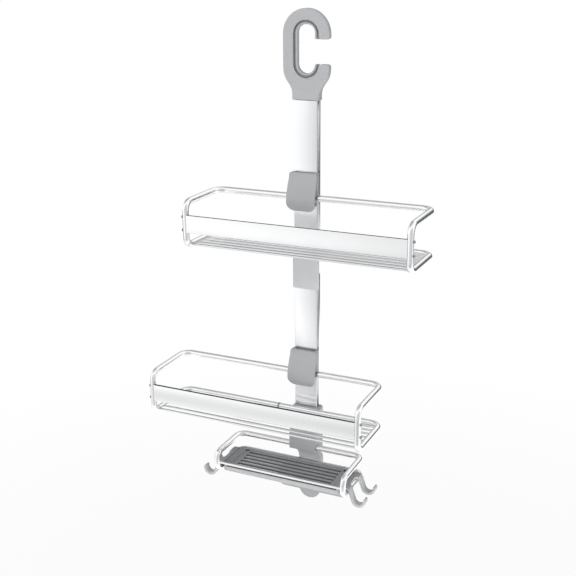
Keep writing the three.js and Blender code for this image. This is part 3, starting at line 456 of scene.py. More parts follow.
# How bright each side of the studio is: the side, where the light starts and ends changing, and both levels.
# "room" lights the pieces; the others only show mirrored in them.
sides = {
    "room": ((0, 1, 0), 0.75, -0.35, 0.26, 0.74),
    "behind": ((-0.4, 0.88, -0.25), 0.97, 0.72, 0.15, 1),
    "camera": ((0.55, -0.83, 0), 0.8, 0.4, 0.66, 1.14),
    "rails": ((0.4, 0.9, -0.17), 0.96, 0.8, 0.1, 1),
    "above": ((-0.5, 0.3, 0.81), 0.95, 0.7, 0.35, 1),
    "floorNear": ((-0.75, 0.6, 0), 0.8, 0.35, 0.25, 1.08),
    "floorFar": ((0.4, 0.9, 0), 2.4, 1.8, 0.08, 1),
}
studio = {"floorDrop": 0.3, "floorSize": 9, "floorTone": (0.88, 0.88, 0.88, 1), "fade": (0.7, 1.6, 0.85, 1),
          "under": (0.15, 1, 0.62, 1), "bandAt": 1, "band": (0.15, 0.6, 0.64, 1)}


def sideLight(tree, place, *names):
    shares = []
    for name in names:
        side, *limits = sides[name]
        along = maths(tree, "DOT_PRODUCT", place, side, kind="Vector")
        shares.append(remap(tree, along.outputs["Value"], *limits, interpolation_type="SMOOTHSTEP"))
    return product(tree, *shares)


def glow(tree, kind, strength):
    return add(tree, "ShaderNode" + kind, {"Color": (1, 1, 1, 1), "Strength": strength})


def blend(tree, share, first, second):
    return add(tree, "ShaderNodeMixShader", {0: share, 1: first, 2: second})


world = bpy.data.worlds.new("studio")
scene.world = world
world.use_nodes = True
sky = world.node_tree
sky.nodes.clear()
heading = add(sky, "ShaderNodeTexCoord").outputs["Generated"]
rays = add(sky, "ShaderNodeLightPath").outputs
room = blend(sky, rays["Is Glossy Ray"], glow(sky, "Background", sideLight(sky, heading, "room")),
             glow(sky, "Background", sideLight(sky, heading, "behind", "camera", "rails", "above")))
whole = blend(sky, rays["Is Camera Ray"], room, glow(sky, "Background", 1))
add(sky, "ShaderNodeOutputWorld", {"Surface": whole})

half = studio["floorSize"] / 2
floorZ = cadBox[0].z - studio["floorDrop"]
floorMesh = bpy.data.meshes.new("floor")
corners = [(x * half, y * half, floorZ) for x, y in ((-1, -1), (1, -1), (1, 1), (-1, 1))]
floorMesh.from_pydata(corners, [], [(0, 1, 2, 3)])
floor = newObject("floor", floorMesh)
paint, tree, place = newMaterial("floor_paint")
distance = maths(tree, "LENGTH", place, kind="Vector").outputs["Value"]
ahead = maths(tree, "DOT_PRODUCT", place, (0, -1, 0), kind="Vector").outputs["Value"]
offBand = maths(tree, "ABSOLUTE", maths(tree, "SUBTRACT", ahead, studio["bandAt"]))
around = maths(tree, "NORMALIZE", place, kind="Vector")
# What the floor shows in reflections: it falls off by side, with a painted darker band ahead and painted shadow under
# the object
shadedFloorReflection = product(tree, sideLight(tree, around, "floorNear", "camera"), sideLight(tree, place, "floorFar"),
                   remap(tree, offBand, *studio["band"]), remap(tree, distance, *studio["under"]))
rays = add(tree, "ShaderNodeLightPath").outputs
matt = add(tree, "ShaderNodeBsdfDiffuse", {"Color": studio["floorTone"]})
seen = product(tree, rays["Is Camera Ray"], remap(tree, distance, *studio["fade"]))
floorLook = blend(tree, rays["Is Glossy Ray"], blend(tree, seen, matt, glow(tree, "Emission", 1)),
                  glow(tree, "Emission", shadedFloorReflection))
add(tree, "ShaderNodeOutputMaterial", {"Surface": floorLook})
floorMesh.materials.append(paint)
print("studio set")

# Hook: a flat arch whose neck swells into a collar over the rail
hookSizes = {"depth": 8.5, "arm": 14, "edge": 1.7, "linerWidth": 5.5, "slotWidth": 23.7, "slotHeight": 59.8,
             "mouthDrop": 17.6, "mouthHeight": 30.3, "tipCorner": 3.5, "shoulderDrop": 51.5, "neckDrop": 91.5,
             "collarHeight": 1, "collarEase": 0.15, "bend": 0.55, "tongueLength": 40, "tongueWidth": 24.4,
             "tongueFront": -3.5, "tongueBack": 4.3, "tongueCorner": 0.8, "neckSteps": 22}


def hookLines():
    s = hookSizes
    slot = s["slotWidth"] / 2
    return slot, -slot, -s["slotHeight"] + slot, -s["mouthDrop"], -s["mouthDrop"] - s["mouthHeight"]


def makeHook():
    s = hookSizes
    slot, archZ, floorZ, mouthTop, mouthFloor = hookLines()
    inner = slot + s["linerWidth"]
    outer = inner + s["arm"]
    collarX = box("joiner_clip")[1].x - s["collarEase"]
    neck, shoulder, tip = -s["neckDrop"], -s["shoulderDrop"], s["tipCorner"]
    bottom = neck - s["collarHeight"]
    bend = (shoulder - neck) * s["bend"]
    lean = math.asin((mouthFloor - tip - floorZ) / (inner + tip))
    turn = math.degrees(lean)
    left = bezier((-collarX, neck), (-collarX, neck + bend), (-outer, shoulder - bend), (-outer, shoulder), 20)
    right = bezier((outer, mouthFloor - tip), (outer, shoulder - bend), (collarX, neck + bend), (collarX, neck), 22)
    outline = [(-collarX, bottom), *left, *arc(0, archZ, outer, 180, 0, 72),
               *arc(outer - tip, mouthTop + tip, tip, 0, -90, 8), *arc(inner + tip, mouthTop + tip, tip, -90, -180, 8),
               *arc(0, archZ, inner, 0, 180, 48), *arc(0, floorZ, inner, 180, 360 + turn, 48),
               *arc((inner + tip) * math.cos(lean), mouthFloor - tip, tip, 180 + turn, 90, 8)[1:],
               *arc(outer - tip, mouthFloor - tip, tip, 90, 0, 8), *right[1:], (collarX, bottom)]
    bm = prism(outline, "y", -s["depth"] / 2, s["depth"] / 2)
    bmesh.ops.remove_doubles(bm, verts=bm.verts, dist=near)
    bmesh.ops.recalc_face_normals(bm, faces=bm.faces)
    rims = [e for e in bm.edges if abs(e.verts[0].co.y - e.verts[1].co.y) < near]
    bmesh.ops.bevel(bm, geom=rims, offset=s["edge"], segments=4, profile=0.5, affect="EDGES", clamp_overlap=True)
    thin, thick = s["depth"] / 2, box("hook")[1].y
    swellTop = -s["slotHeight"] - inner
    for i in range(s["neckSteps"]):
        level = swellTop + (bottom - swellTop) * i / s["neckSteps"]
        everything = bm.verts[:] + bm.edges[:] + bm.faces[:]
        bmesh.ops.bisect_plane(bm, geom=everything, plane_co=(0, 0, level), plane_no=(0, 0, 1))
    for vert in bm.verts:
        t = min(max((swellTop - vert.co.z) / (swellTop - neck), 0), 1)
        vert.co.y *= 1 + (thick / thin - 1) * t * t * (3 - 2 * t)
    hook = link("hookMoulding", bm)
    half = s["tongueWidth"] / 2
    section = roundedRectangle(-half, half, s["tongueFront"], s["tongueBack"], s["tongueCorner"], 3)
    return merge(hook, link("hookTongue", prism(section, "z", bottom - s["tongueLength"], bottom + 0.5)))


# Soft liner: a bead round the slot and a thin web out to the arm
linerSizes = {"bead": 2.7, "beadDepth": 6.4, "webDepth": 1.6, "edge": 0.8, "corner": 1.8, "seat": 4,
              "ease": (0, 0.15, 0.4, 0.8, 1.3, 1.8), "archSteps": 24, "webTurn": 86, "endTurn": 8, "floorSteps": 40}


def makeLiner():
    s = linerSizes
    slot, archZ, floorZ, mouthTop, mouthFloor = hookLines()
    outer = box("hook_liner")[1].x
    reach, crown = outer - slot, slot - s["seat"] / 2
    ease, steps = s["ease"], s["archSteps"]
    tops = [mouthTop + d for d in ease]
    inner = [(slot, z) for z in tops] + arc(s["seat"] / 2, -crown, crown, 0, 90, steps)
    web = [(outer, z) for z in tops] + arc(0, archZ, outer, 0, s["webTurn"], steps)
    inner += mirror(inner[len(ease):])
    web += mirror(web[len(ease):])
    endAngle = 360 + math.degrees(math.asin((mouthFloor - floorZ) / slot))
    inner += arc(0, floorZ, slot, 180, endAngle - s["endTurn"], s["floorSteps"])
    web += arc(0, floorZ, outer, 180, endAngle - s["endTurn"], s["floorSteps"])
    for d in reversed(ease):
        angle = math.radians(endAngle) - math.asin(d / slot)
        inner.append((slot * math.cos(angle), floorZ + slot * math.sin(angle)))
        web.append((outer * math.cos(angle), floorZ + outer * math.sin(angle)))
    inset = [*ease, *[s["corner"]] * (len(inner) - 2 * len(ease)), *reversed(ease)]
    bead, halfWeb, edge = s["beadDepth"] / 2, s["webDepth"] / 2, s["edge"]
    section = arc(edge, -bead + edge, edge, 180, 270, 5) + arc(s["bead"] - edge, -bead + edge, edge, 270, 360, 5)
    section += [(s["bead"], -halfWeb), (reach, -halfWeb)]
    section += [(u, -v) for u, v in reversed(section)]
    bm = bmesh.new()
    rings = []
    for (ax, az), (bx, bz), d in zip(inner, web, inset):
        pull = s["corner"] - math.sqrt(max(s["corner"] ** 2 - (s["corner"] - d) ** 2, 0))
        ring = []
        for u, v in section:
            share = max(u, pull) / reach
            ring.append(bm.verts.new((ax + (bx - ax) * share, v, az + (bz - az) * share)))
        rings.append(ring)
    for a, b in zip(rings, rings[1:]):
        joinRings(bm, a, b)
    bm.faces.new(rings[0])
    bm.faces.new(rings[-1])
    return link("hookLiner", bm)


dress(makeHook(), "spine", "grey_plastic", "hook")
dress(makeLiner(), "spine", "liner_rubber", "hook_liner")
print("hook made")

# Rails: one extrusion with a crowned face and a groove down each side
railSizes = {"width": 32.6, "depth": 12, "wall": 1.4, "crown": 0.8, "corner": 1.2, "groove": 5.4,
             "grooveDepth": 2.4, "flange": 1.4, "faceCorner": 0.4, "faceEdge": 0.5, "soft": 0.22}


def crownedFront(halfWidth, edge, corner=railSizes["faceCorner"], steps=20):
    places = (2 * i / steps - 1 for i in range(steps + 1))
    return [(t * (halfWidth - corner), edge - railSizes["crown"] * (1 - t * t)) for t in places]


def makeRail(level):
    s = railSizes
    low, high = box(level + "_rail")
    x, back = s["width"] / 2, s["depth"] / 2
    edge = -back + s["crown"]
    grooveFront = edge + s["flange"]
    grooveBack = grooveFront + s["groove"]
    jog = x - s["grooveDepth"]
    side = [(x, edge + s["faceEdge"]), (x, grooveFront), (jog, grooveFront), (jog, grooveBack), (x, grooveBack)]
    side += arc(x - s["corner"], back - s["corner"], s["corner"], 0, 90, 6)
    outline = crownedFront(x, edge) + side + mirror(side)
    wall = s["wall"]
    inside = [(jog - wall, edge + wall), (jog - wall, grooveBack + wall), (x - wall, grooveBack + wall),
              (x - wall, back - wall)]
    rail = link(level + "Rail", prism(outline, "z", low.z, high.z, inside + mirror(inside)))
    return soften(rail, s["soft"], 2, 40)


for level in levels:
    dress(makeRail(level), "spine", "rail_aluminium", level + "_rail")

# Joiner: a clip over the rail's front whose lips hook into the grooves
clipSizes = {"wall": 1.6, "gap": 0.3, "faceCorner": 0.9, "faceEdge": -0.6, "soft": 0.45}


def makeClip():
    s, r = clipSizes, railSizes
    low, high = box("joiner_clip")
    x, edge = r["width"] / 2, -r["depth"] / 2 + r["crown"]
    outerX, innerX = x + s["gap"] + s["wall"], x + s["gap"]
    lipFront = edge + r["flange"] + s["gap"]
    lipX = x - r["grooveDepth"] + s["gap"]
    side = [(outerX, edge + s["faceEdge"]), (outerX, high.y), (lipX, high.y), (lipX, lipFront), (innerX, lipFront)]
    outline = crownedFront(outerX, edge - s["gap"] - s["wall"], s["faceCorner"]) + side
    outline += crownedFront(innerX, edge - s["gap"])[::-1] + mirror(side)
    return soften(link("joinerClip", prism(outline, "z", low.z, high.z)), s["soft"], 3, 40)


dress(makeClip(), "spine", "grey_plastic", "joiner_clip", finish="clip_plastic")
print("rails and joiner made")

# Foot: socket, soap block, leg and cross bar
footSizes = {"socket": 33, "wall": 1.6, "width": 39.4, "chamfer": 2.6, "step": 34, "bore": 4.4, "boreDrop": 57.5,
             "shell": 2.4, "legWidth": 32, "legTop": -4, "legTopThickness": 7, "legFace": 7, "legThickness": 11,
             "legSweep": 26, "barWidth": 112, "barHeight": 30, "barDepth": 7, "barLift": 6.7, "barSkirt": 2.2,
             "barCorner": 12, "cupInset": 19, "stud": 3.5, "studHead": 4.9, "headDepth": 1.9, "seatRing": 2,
             "underBore": 1.4, "boreY": 5.8, "lowerEdge": 1.6, "soft": 0.5}


def makeFoot():
    s, r = footSizes, railSizes
    low, high = box("foot")
    top, back = high.z, r["depth"] / 2 + common["seatGap"] + s["wall"]
    front, half = -back, s["width"] / 2
    soapZ = top - s["boreDrop"]
    bottom = soapZ - s["bore"] - s["underBore"]
    blockFront = low.y
    stepTop, edge = bottom + s["step"], s["lowerEdge"]
    chamfer = s["chamfer"]
    side = [(back, bottom), (back, top - chamfer), (back - s["wall"], top), (front + s["wall"], top),
            (front, top - chamfer)]
    side += bezier((front, stepTop), (front - 3, stepTop - 1), (blockFront, stepTop - chamfer),
                   (blockFront, stepTop - 4 * chamfer), 10)
    side += arc(blockFront + edge, bottom + edge, edge, 180, 270, 5)
    face = [(half - chamfer, top + near), (half, top - chamfer), (half, bottom - 1)]
    bracket = link("footMoulding", prism(side, "x", -half, half))
    combine("INTERSECT", bracket, link("footFace", prism(mirror(face) + face, "y", -past, past)))

    legTop = bottom + 1
    sweepEnd, halfSweep = legTop - s["legSweep"], legTop - s["legSweep"] / 2
    barFace = s["legFace"] + s["legThickness"]
    topBack, legBack = s["legTop"] + s["legTopThickness"], barFace + 1
    leg = bezier((s["legTop"], legTop), (s["legTop"], halfSweep), (s["legFace"], halfSweep),
                 (s["legFace"], sweepEnd), 18)
    leg += [(s["legFace"], low.z - 1), (legBack, low.z - 1)]
    leg += bezier((legBack, sweepEnd), (legBack, halfSweep), (topBack, halfSweep), (topBack, legTop), 18)
    legX = s["legWidth"] / 2
    outline = [(legX, legTop + 1), (-legX, legTop + 1)] + arc(0, low.z + legX, legX, 180, 360, 36)
    legPiece = link("leg", prism(leg, "x", -past, past))
    combine("INTERSECT", legPiece, link("legFace", prism(outline, "y", -past, past)))

    barZ = low.z + s["barLift"] + s["barHeight"] / 2
    cupX = s["barWidth"] / 2 - s["cupInset"]

    def barOutline(inset):
        x, z = s["barWidth"] / 2 - inset, s["barHeight"] / 2 - inset
        return roundedRectangle(-x, x, barZ - z - s["barSkirt"], barZ + z, s["barCorner"] - inset, 10)

    bar = link("bar", prism(barOutline(0), "y", barFace, barFace + s["barDepth"]))
    hollow = link("hollow", prism(barOutline(s["shell"]), "y", barFace + s["shell"], past))
    combine("DIFFERENCE", bar, hollow)
    seats = [link("seat", rod("y", s["studHead"] + s["seatRing"], barFace + 0.5, barFace + s["barDepth"], x, barZ))
             for x in (-cupX, cupX)]
    combine("UNION", bracket, legPiece, bar, *seats)

    gap = common["seatGap"]
    x, y = r["width"] / 2 + gap, r["depth"] / 2 + gap
    socket = crownedFront(x, r["crown"] - y) + [(x, y), (-x, y)]
    cuts = [link("socket", prism(socket, "z", top - s["socket"] - gap, top + past)),
            link("bore", rod("x", s["bore"], -past, past, low.y + s["boreY"], soapZ))]
    for x in (-cupX, cupX):
        cuts.append(link("stud", rod("y", s["stud"], 0, past, x, barZ, 32)))
        cuts.append(link("studHead", rod("y", s["studHead"], 0, barFace + s["headDepth"], x, barZ, 32)))
    combine("DIFFERENCE", bracket, *cuts)
    return soften(bracket, s["soft"], 3, 32)


dress(makeFoot(), "spine", "grey_plastic", "foot")
print("foot made")

# Suction cups: each with the stud that snaps through the bar
cupSizes = {"radius": 17, "lip": 1.6, "stud": 3.2, "head": 4.6, "headDepth": 1.6, "headEdge": 0.5, "collar": 7,
            "collarEdge": 1.2, "seat": 7.3}


# The two curves are the cup's outside and inside, from the stud to the rim and back
def makeCup(side):
    s = cupSizes
    low, high = box("suction_cup_" + side)
    face, rim, radius, head, collar = low.y, high.y, s["radius"], s["head"], s["collar"]
    seat, back, edge, inside = face + s["seat"], face + s["headDepth"], s["headEdge"], radius - s["lip"]
    profile = [(0, face), (head - edge, face), (head, face + edge), (head, back), (s["stud"], back),
               (s["stud"], seat), (collar, seat), (collar, seat + s["collarEdge"])]
    profile += bezier((collar, seat + 2.4), (radius * 0.62, seat + 3), (radius * 0.85, rim - 3.4),
                      (radius, rim - 0.4), 10) + [(radius, rim), (inside, rim)]
    profile += bezier((inside - 0.2, rim - 0.3), (radius * 0.8, rim - 1.6), (head, seat + 5), (0, seat + 4.4), 10)
    centre = ((low.x + high.x) / 2, 0, (low.z + high.z) / 2)
    return link("suctionCup" + side.title(), lathe(profile, "y", centre, 56))


for side in ("left", "right"):
    dress(makeCup(side), "spine", "cup_rubber", "suction_cup_" + side)
print("suction cups made")

# Bent tubes, and copies of a piece at points, each turned to face its own way
tubeTree, given = newTree("bentTube", Radius="Float", Sides="Int", BendSteps="Int", Finish="Material")
bend = add(tubeTree, "GeometryNodeInputNamedAttribute", {"Name": "bend"}, data_type="FLOAT")
path = add(tubeTree, "GeometryNodeMeshToCurve", {"Mesh": given["Geometry"]})
bent = add(tubeTree, "GeometryNodeFilletCurve", {"Curve": path, "Count": given["BendSteps"], "Radius": bend},
           mode="POLY")
ring = add(tubeTree, "GeometryNodeCurvePrimitiveCircle", {"Resolution": given["Sides"], "Radius": given["Radius"]})
skin = add(tubeTree, "GeometryNodeCurveToMesh", {"Curve": bent, "Profile Curve": ring, "Fill Caps": True})
closeTree(tubeTree, skin, given["Finish"])

copyTree, given = newTree("copies", Piece="Object", Finish="Material")
facing = add(copyTree, "GeometryNodeInputNamedAttribute", {"Name": "facing"}, data_type="FLOAT_VECTOR")
turn = add(copyTree, "FunctionNodeAlignRotationToVector", {"Vector": facing}, axis="Z")
piece = add(copyTree, "GeometryNodeObjectInfo", {"Object": given["Piece"]})
copies = add(copyTree, "GeometryNodeInstanceOnPoints", {"Points": given["Geometry"], "Rotation": turn,
                                                        "Instance": piece.outputs["Geometry"]})
closeTree(copyTree, copies, given["Finish"])


def copied(name, piece, finish, points, facings=None):
    facings = facings or [(0, 0, 1)] * len(points)
    cloud = sketch(name, points, [], "facing", "FLOAT_VECTOR", "vector", [c for facing in facings for c in facing])
    grown = grow(cloud, copyTree, Piece=piece, Finish=finishes[finish])
    bpy.data.objects.remove(piece)
    return grown


# Screws with a domed head and a cross recess. The head's underside is at the origin and faces down.
screwSizes = {"strip": {"shank": 1.5, "length": 15.6, "head": 2.1, "height": 1.5, "cross": 1.2, "inset": 1.6},
              "back": {"shank": 2, "length": 5, "head": 3.4, "height": 1.8, "cross": 2.1, "inset": 1.8},
              "tip": 0.6, "rim": 0.15, "armWidth": 0.28, "armCorner": 0.12, "armFloor": 0.35}


def makeScrew(kind):
    s, rim = {**screwSizes, **screwSizes[kind]}, screwSizes["rim"]
    shank, head, height = s["shank"], s["head"], s["height"]
    profile = [(0, -s["length"]), (shank * 0.8, -s["length"]), (shank, s["tip"] - s["length"]), (shank, 0),
               (head - rim, 0), (head, rim)]
    profile += [(head * u, rim + (height - rim) * v) for u, v in arc(0, 0, 1, 0, 80, 8)[1:]] + [(0, height)]
    screw = link(kind + "Screw", lathe(profile, "z", (0, 0, 0), 32))
    long, short = s["cross"], s["cross"] * s["armWidth"]
    arms = [link("arm", prism(roundedRectangle(-u, u, -v, v, s["armCorner"], 2), "z", height * s["armFloor"],
                              height + 1)) for u, v in ((long, short), (short, long))]
    combine("UNION", *arms)
    return smooth(combine("DIFFERENCE", screw, arms[0]))


# Wire frames: tubes, their weld and the floor wires
weldSizes = {"gap": 0.4, "length": 3, "proud": 0.3, "sunk": 0.4, "foot": 0.02, "swell": 75}
shelfSizes = {"backBend": 14, "frontBend": 12, "wireCount": 7, "wirePitch": 11, "wireRadius": 1.6,
              "stripThickness": 2, "stripCorner": 0.5, "portRadius": 2.7, "portInset": 2.9, "stripSink": 1.6,
              "tubeSides": 32, "wireSides": 20, "bendSteps": 14}


def frameLines(node):
    low, high = box(node)
    radius = common["tubeRadius"]
    bead = weldSizes["proud"]
    return {"left": low.x + radius, "right": high.x - radius, "centre": (low.x + high.x) / 2,
            "back": high.y - radius - bead, "front": low.y + radius, "top": high.z - radius,
            "bottom": low.z + radius + bead}


# A rectangle seen from above and a C seen from the side, welded behind the floor
def makeTubeLoop(name, lines, sizes):
    s, radius, centre = weldSizes, common["tubeRadius"], lines["centre"]
    side = [(lines[spot], lines[height]) for spot, height in (
        ("back", "bottom"), ("front", "bottom"), ("front", "top"), ("back", "top"))]
    ends = [(centre + way * s["gap"] / 2, *side[0]) for way in (1, -1)]
    corners = [ends[0], *((lines["right"], y, z) for y, z in side), *((lines["left"], y, z) for y, z in side[::-1]),
               ends[1]]
    bends = [0, *[sizes[spot + "Bend"] for spot in ("back", "front", "front", "back")] * 2, 0]
    line = sketch(name, corners, [(i, i + 1) for i in range(len(corners) - 1)], "bend", "FLOAT", "value",
                  [bend * mm for bend in bends])
    tube = grow(line, tubeTree, Radius=radius * mm, Sides=shelfSizes["tubeSides"], BendSteps=shelfSizes["bendSteps"],
                Finish=finishes["tube_steel"])
    sunk, foot, half = radius - s["sunk"], radius + s["foot"], s["length"] / 2
    bead = [(radius + s["proud"] * u, half * v) for u, v in arc(0, 0, 1, -s["swell"], s["swell"], 10)]
    profile = [(sunk, -half), (foot, -half), *bead, (foot, half), (sunk, half), (sunk, -half)]
    return merge(tube, link("weld", lathe(profile, "x", (centre, *side[0]), 40)))


# True on the weld's own ring
def weldTest(lines):
    centre = Vector((lines["centre"], lines["back"], lines["bottom"]))
    reach = weldSizes["length"] / 2 + 0.1
    return lambda at, facing: abs(at.x - centre.x) < reach and (at - centre).length < common["tubeRadius"] + reach


# True on the floor wires between the side tubes
def wireTest(lines):
    clear, reach = common["tubeRadius"] + 0.3, shelfSizes["wireRadius"] + 0.1
    return lambda at, facing: (abs(at.z - lines["bottom"]) < reach and at.y < lines["back"] - clear
                               and lines["left"] + clear < at.x < lines["right"] - clear)


def makeWires(name, lines, radius, places, height):
    wire = link("wire", rod("x", radius, lines["left"], lines["right"], 0, height, shelfSizes["wireSides"]))
    return copied(name, wire, "tube_steel", [(0, y, 0) for y in places])


def makeStrip(level):
    s = shelfSizes
    low, high = box(level + "_shelf_strip")
    ends = (low.x - s["stripSink"], high.x + s["stripSink"])
    section = roundedRectangle(low.y, low.y + s["stripThickness"], low.z, high.z, s["stripCorner"], 4)
    ports = [link("port", rod("x", s["portRadius"], *ends, high.y - s["portRadius"], z, 32))
             for z in (low.z + s["portInset"], high.z - s["portInset"])]
    return smooth(combine("UNION", link(level + "Strip", prism(section, "x", *ends)), *ports))


def driveScrews(name, kind, body, nodes, facings):
    points = []
    for node, facing in zip(nodes, facings):
        low, high = box(node)
        face = [(high if way > 0 else low)[i] if way else (low[i] + high[i]) / 2 for i, way in enumerate(facing)]
        points.append(Vector(face) - screwSizes[kind]["inset"] * Vector(facing))
    dress(copied(name, makeScrew(kind), "screw_steel", points, facings), body, "screw_steel", *nodes)


for level in levels:
    s, body = shelfSizes, level + "_shelf"
    lines = frameLines(body + "_frame")
    shelf = makeTubeLoop(level + "ShelfFrame", lines, s)
    places = [lines["back"] - s["wirePitch"] * (i + 1) for i in range(s["wireCount"])]
    floorWires = makeWires(level + "FloorWires", lines, s["wireRadius"], places, lines["bottom"])
    shelf = dress(merge(shelf, floorWires), body, "tube_steel", body + "_frame")
    paintFaces(shelf, "weld_steel", weldTest(lines))
    # Painted shade: the floor wires get a darker copy of the tube steel
    paintFaces(shelf, "shaded_wire_steel", wireTest(lines))
    strip = dress(makeStrip(level), body, "strip_aluminium", body + "_strip")
    # Painted shade: the strip's top and bottom faces get a near-black finish
    paintFaces(strip, "strip_edge_shade", lambda at, facing: abs(facing.z) > 0.6)
    nodes = [f"{level}_strip_screw_{side}_{spot}" for side in ("right", "left") for spot in ("top", "bottom")]
    driveScrews(level + "StripScrews", "strip", body, nodes, [(1, 0, 0)] * 2 + [(-1, 0, 0)] * 2)
print("shelves made")

nodes = ["hook_screw", "upper_splice_screw", "lower_splice_screw", "foot_screw"]
driveScrews("backScrews", "back", "spine", nodes, [(0, 1, 0)] * len(nodes))
print("screws made")

# Clamps: a carrier round the rail and tube, and the lever that locks it. Drawn round the tube's axis.
clampSizes = {"standoff": 6.5, "wall": 1.9, "lip": 1.6, "above": 31, "below": 6.3, "bossWall": 1.9, "cheek": 1.1,
              "face": 4.7, "pin": 1.28, "hub": 2.4, "pinSink": 2.4, "toe": 2.5, "hubHalf": 13, "hubGap": 0.3,
              "pocketGap": 1.4, "joint": 0.2, "soft": 0.35}
leverSizes = {"width": 39.8, "topWidth": 38.6, "below": 17.5, "wall": 2.6, "bulge": 3.5, "topEdge": 2.5,
              "topCorner": 1.5, "footCorner": 10, "shoulder": 7, "rake": 0.5, "curl": 3.2, "curlStart": 9,
              "fullHeight": 3, "webReach": 1.5, "webHalf": 1.9, "webCorner": 0.4, "webEnd": 0.1,
              "rib": (-3.5, 0.5, 13.6, 16.6, 0.6), "ribHalf": 5.5, "soft": 0.7}


def clampLines():
    c = clampSizes
    back = c["standoff"] - common["slideGap"]
    front = back - c["face"]
    boss = common["tubeRadius"] + common["slideGap"] + c["bossWall"]
    return back, front, front + c["hub"], c["above"] - c["pinSink"], boss


def pinHole(pinY, pinZ, at):
    return link("pinHole", rod("x", clampSizes["pin"], -past, past, pinY, pinZ, 24), at)


def makeCarrier(level, at):
    c, r, gap = clampSizes, railSizes, common["slideGap"]
    back, front, pinY, pinZ, boss = clampLines()
    top, low = pinZ + c["hub"], -c["below"]
    sideX = r["width"] / 2 + gap
    outerX = sideX + c["wall"]
    face = [(back, low), (back, top), (pinY, top)] + arc(pinY, pinZ, c["hub"], 90, 180, 8)
    face += arc(front + c["toe"], low + c["toe"], c["toe"], 180, 270, 6)
    grooveFront = c["standoff"] + r["crown"] + r["flange"] + gap
    lipX, lipBack = r["width"] / 2 - r["grooveDepth"] + gap, grooveFront + c["lip"]
    body = link(level + "Carrier", prism(face, "x", -outerX, outerX), at)
    parts = [link("boss", rod("x", boss, -outerX, outerX, 0, 0, 64), at)]
    cheekX, innerX = sideX + c["cheek"], sideX - c["joint"]
    cheek = [(innerX, pinY), (cheekX, pinY), (cheekX, lipBack), (lipX, lipBack), (lipX, grooveFront),
             (innerX, grooveFront)]
    for side in (-1, 1):
        parts.append(link("cheek", prism([(side * x, y) for x, y in cheek], "z", low, top), at))
    combine("UNION", body, *parts)
    channel = [(back, -past), (grooveFront, -past), (grooveFront, past), (back, past)]
    hubHalf = c["hubHalf"] + c["hubGap"]
    cuts = [link("bore", rod("x", common["tubeRadius"] + gap, -past, past, 0, 0), at),
            link("channel", prism(channel, "x", -sideX, sideX), at),
            link("pocket", rod("x", c["hub"] + c["pocketGap"], -hubHalf, hubHalf, pinY, pinZ, 40), at)]
    combine("DIFFERENCE", body, *cuts, pinHole(pinY, pinZ, at))
    return soften(body, c["soft"], 2, 35)


def makeLever(level, at):
    c, s = clampSizes, leverSizes
    front, pinY, pinZ, boss = clampLines()[1:]
    top = pinZ + s["topEdge"]
    innerTop = front - common["slideGap"]
    fullest = -boss - s["bulge"]
    middleY = (innerTop + fullest) / 2
    wall, rake, x = s["wall"], s["rake"], s["width"] / 2
    low, curlZ, shoulderZ = -s["below"], -s["curlStart"], top - s["shoulder"]
    inner = [(innerTop, top), (innerTop - rake, shoulderZ), (middleY + wall / 2, pinZ / 2),
             (fullest + wall, s["fullHeight"]), (fullest + wall, curlZ),
             (fullest + wall + s["curl"] / 2, low + wall / 2)]
    outer = [(fullest + s["curl"], low), (fullest, curlZ), (fullest, 0), (middleY - wall / 2, pinZ / 2),
             (innerTop - wall - rake, shoulderZ), (innerTop - wall + rake, top)]
    panel = link(level + "Lever", prism(spline(inner, 8) + spline(outer, 8), "x", -x, x), at)
    corner, foot = s["topCorner"], s["footCorner"]
    side = arc(s["topWidth"] / 2 - corner, top - corner, corner, 90, 0, 6) + [(x, pinZ / 2)]
    side += arc(x - foot, low + foot, foot, 0, -90, 16)
    combine("INTERSECT", panel, link("leverFace", prism(side + mirror(side), "y", -past, past), at))
    soften(panel, s["soft"], 3, 32)
    half = c["hubHalf"] - s["webEnd"]
    web = roundedRectangle(front - s["webReach"], pinY, pinZ - s["webHalf"], pinZ + s["webHalf"], s["webCorner"], 3)
    parts = [link("hub", rod("x", c["hub"], -c["hubHalf"], c["hubHalf"], pinY, pinZ, 32), at),
             link("web", prism(web, "x", -half, half), at),
             link("rib", prism(roundedRectangle(*s["rib"], 3), "x", -s["ribHalf"], s["ribHalf"]), at)]
    combine("UNION", panel, *parts)
    return smooth(combine("DIFFERENCE", panel, pinHole(pinY, pinZ, at)))


for level in levels:
    lines = frameLines(level + "_shelf_frame")
    at = (0, lines["back"], lines["top"])
    dress(makeCarrier(level, at), level + "_clamp", "grey_plastic", level + "_carrier")
    dress(makeLever(level, at), level + "_latch", "lever_plastic", level + "_lever")
print("clamps made")

# Soap frame and tray
soapSizes = {"backBend": 12, "frontBend": 9, "guardRadius": 1.5, "guardDrop": 14}
traySizes = {"wall": 2, "endRim": 9, "height": 10.5, "floor": 3, "floorDrop": 1.6, "corner": 6, "flange": 3.2,
             "ribs": 6, "ribWidth": 3, "ribHeight": 0.5, "ribInset": 18, "drainMargin": 0.3, "drainCorner": 1.4,
             "bandWidth": 47, "slot": 27, "slotCorner": 7, "slotStart": 1, "shank": 13, "lean": 18, "bowl": 8.4,
             "lip": 1, "soft": 0.5, "endGap": 5.3, "holeRadius": 3.2, "holeInset": 3.8, "lipHeight": 2,
             "lipGroove": 2.2, "lipDepth": 2.6, "lipCorner": 0.6, "drainShadeDepth": 3}
soapLines = frameLines("soap_frame")
soapFrame = makeTubeLoop("soapFrame", soapLines, soapSizes)
guard = makeWires("guardWire", soapLines, soapSizes["guardRadius"], [soapLines["front"]],
                  soapLines["top"] - soapSizes["guardDrop"])
soapFrame = dress(merge(soapFrame, guard), "soap_dish", "tube_steel", "soap_frame")
paintFaces(soapFrame, "weld_steel", weldTest(soapLines))


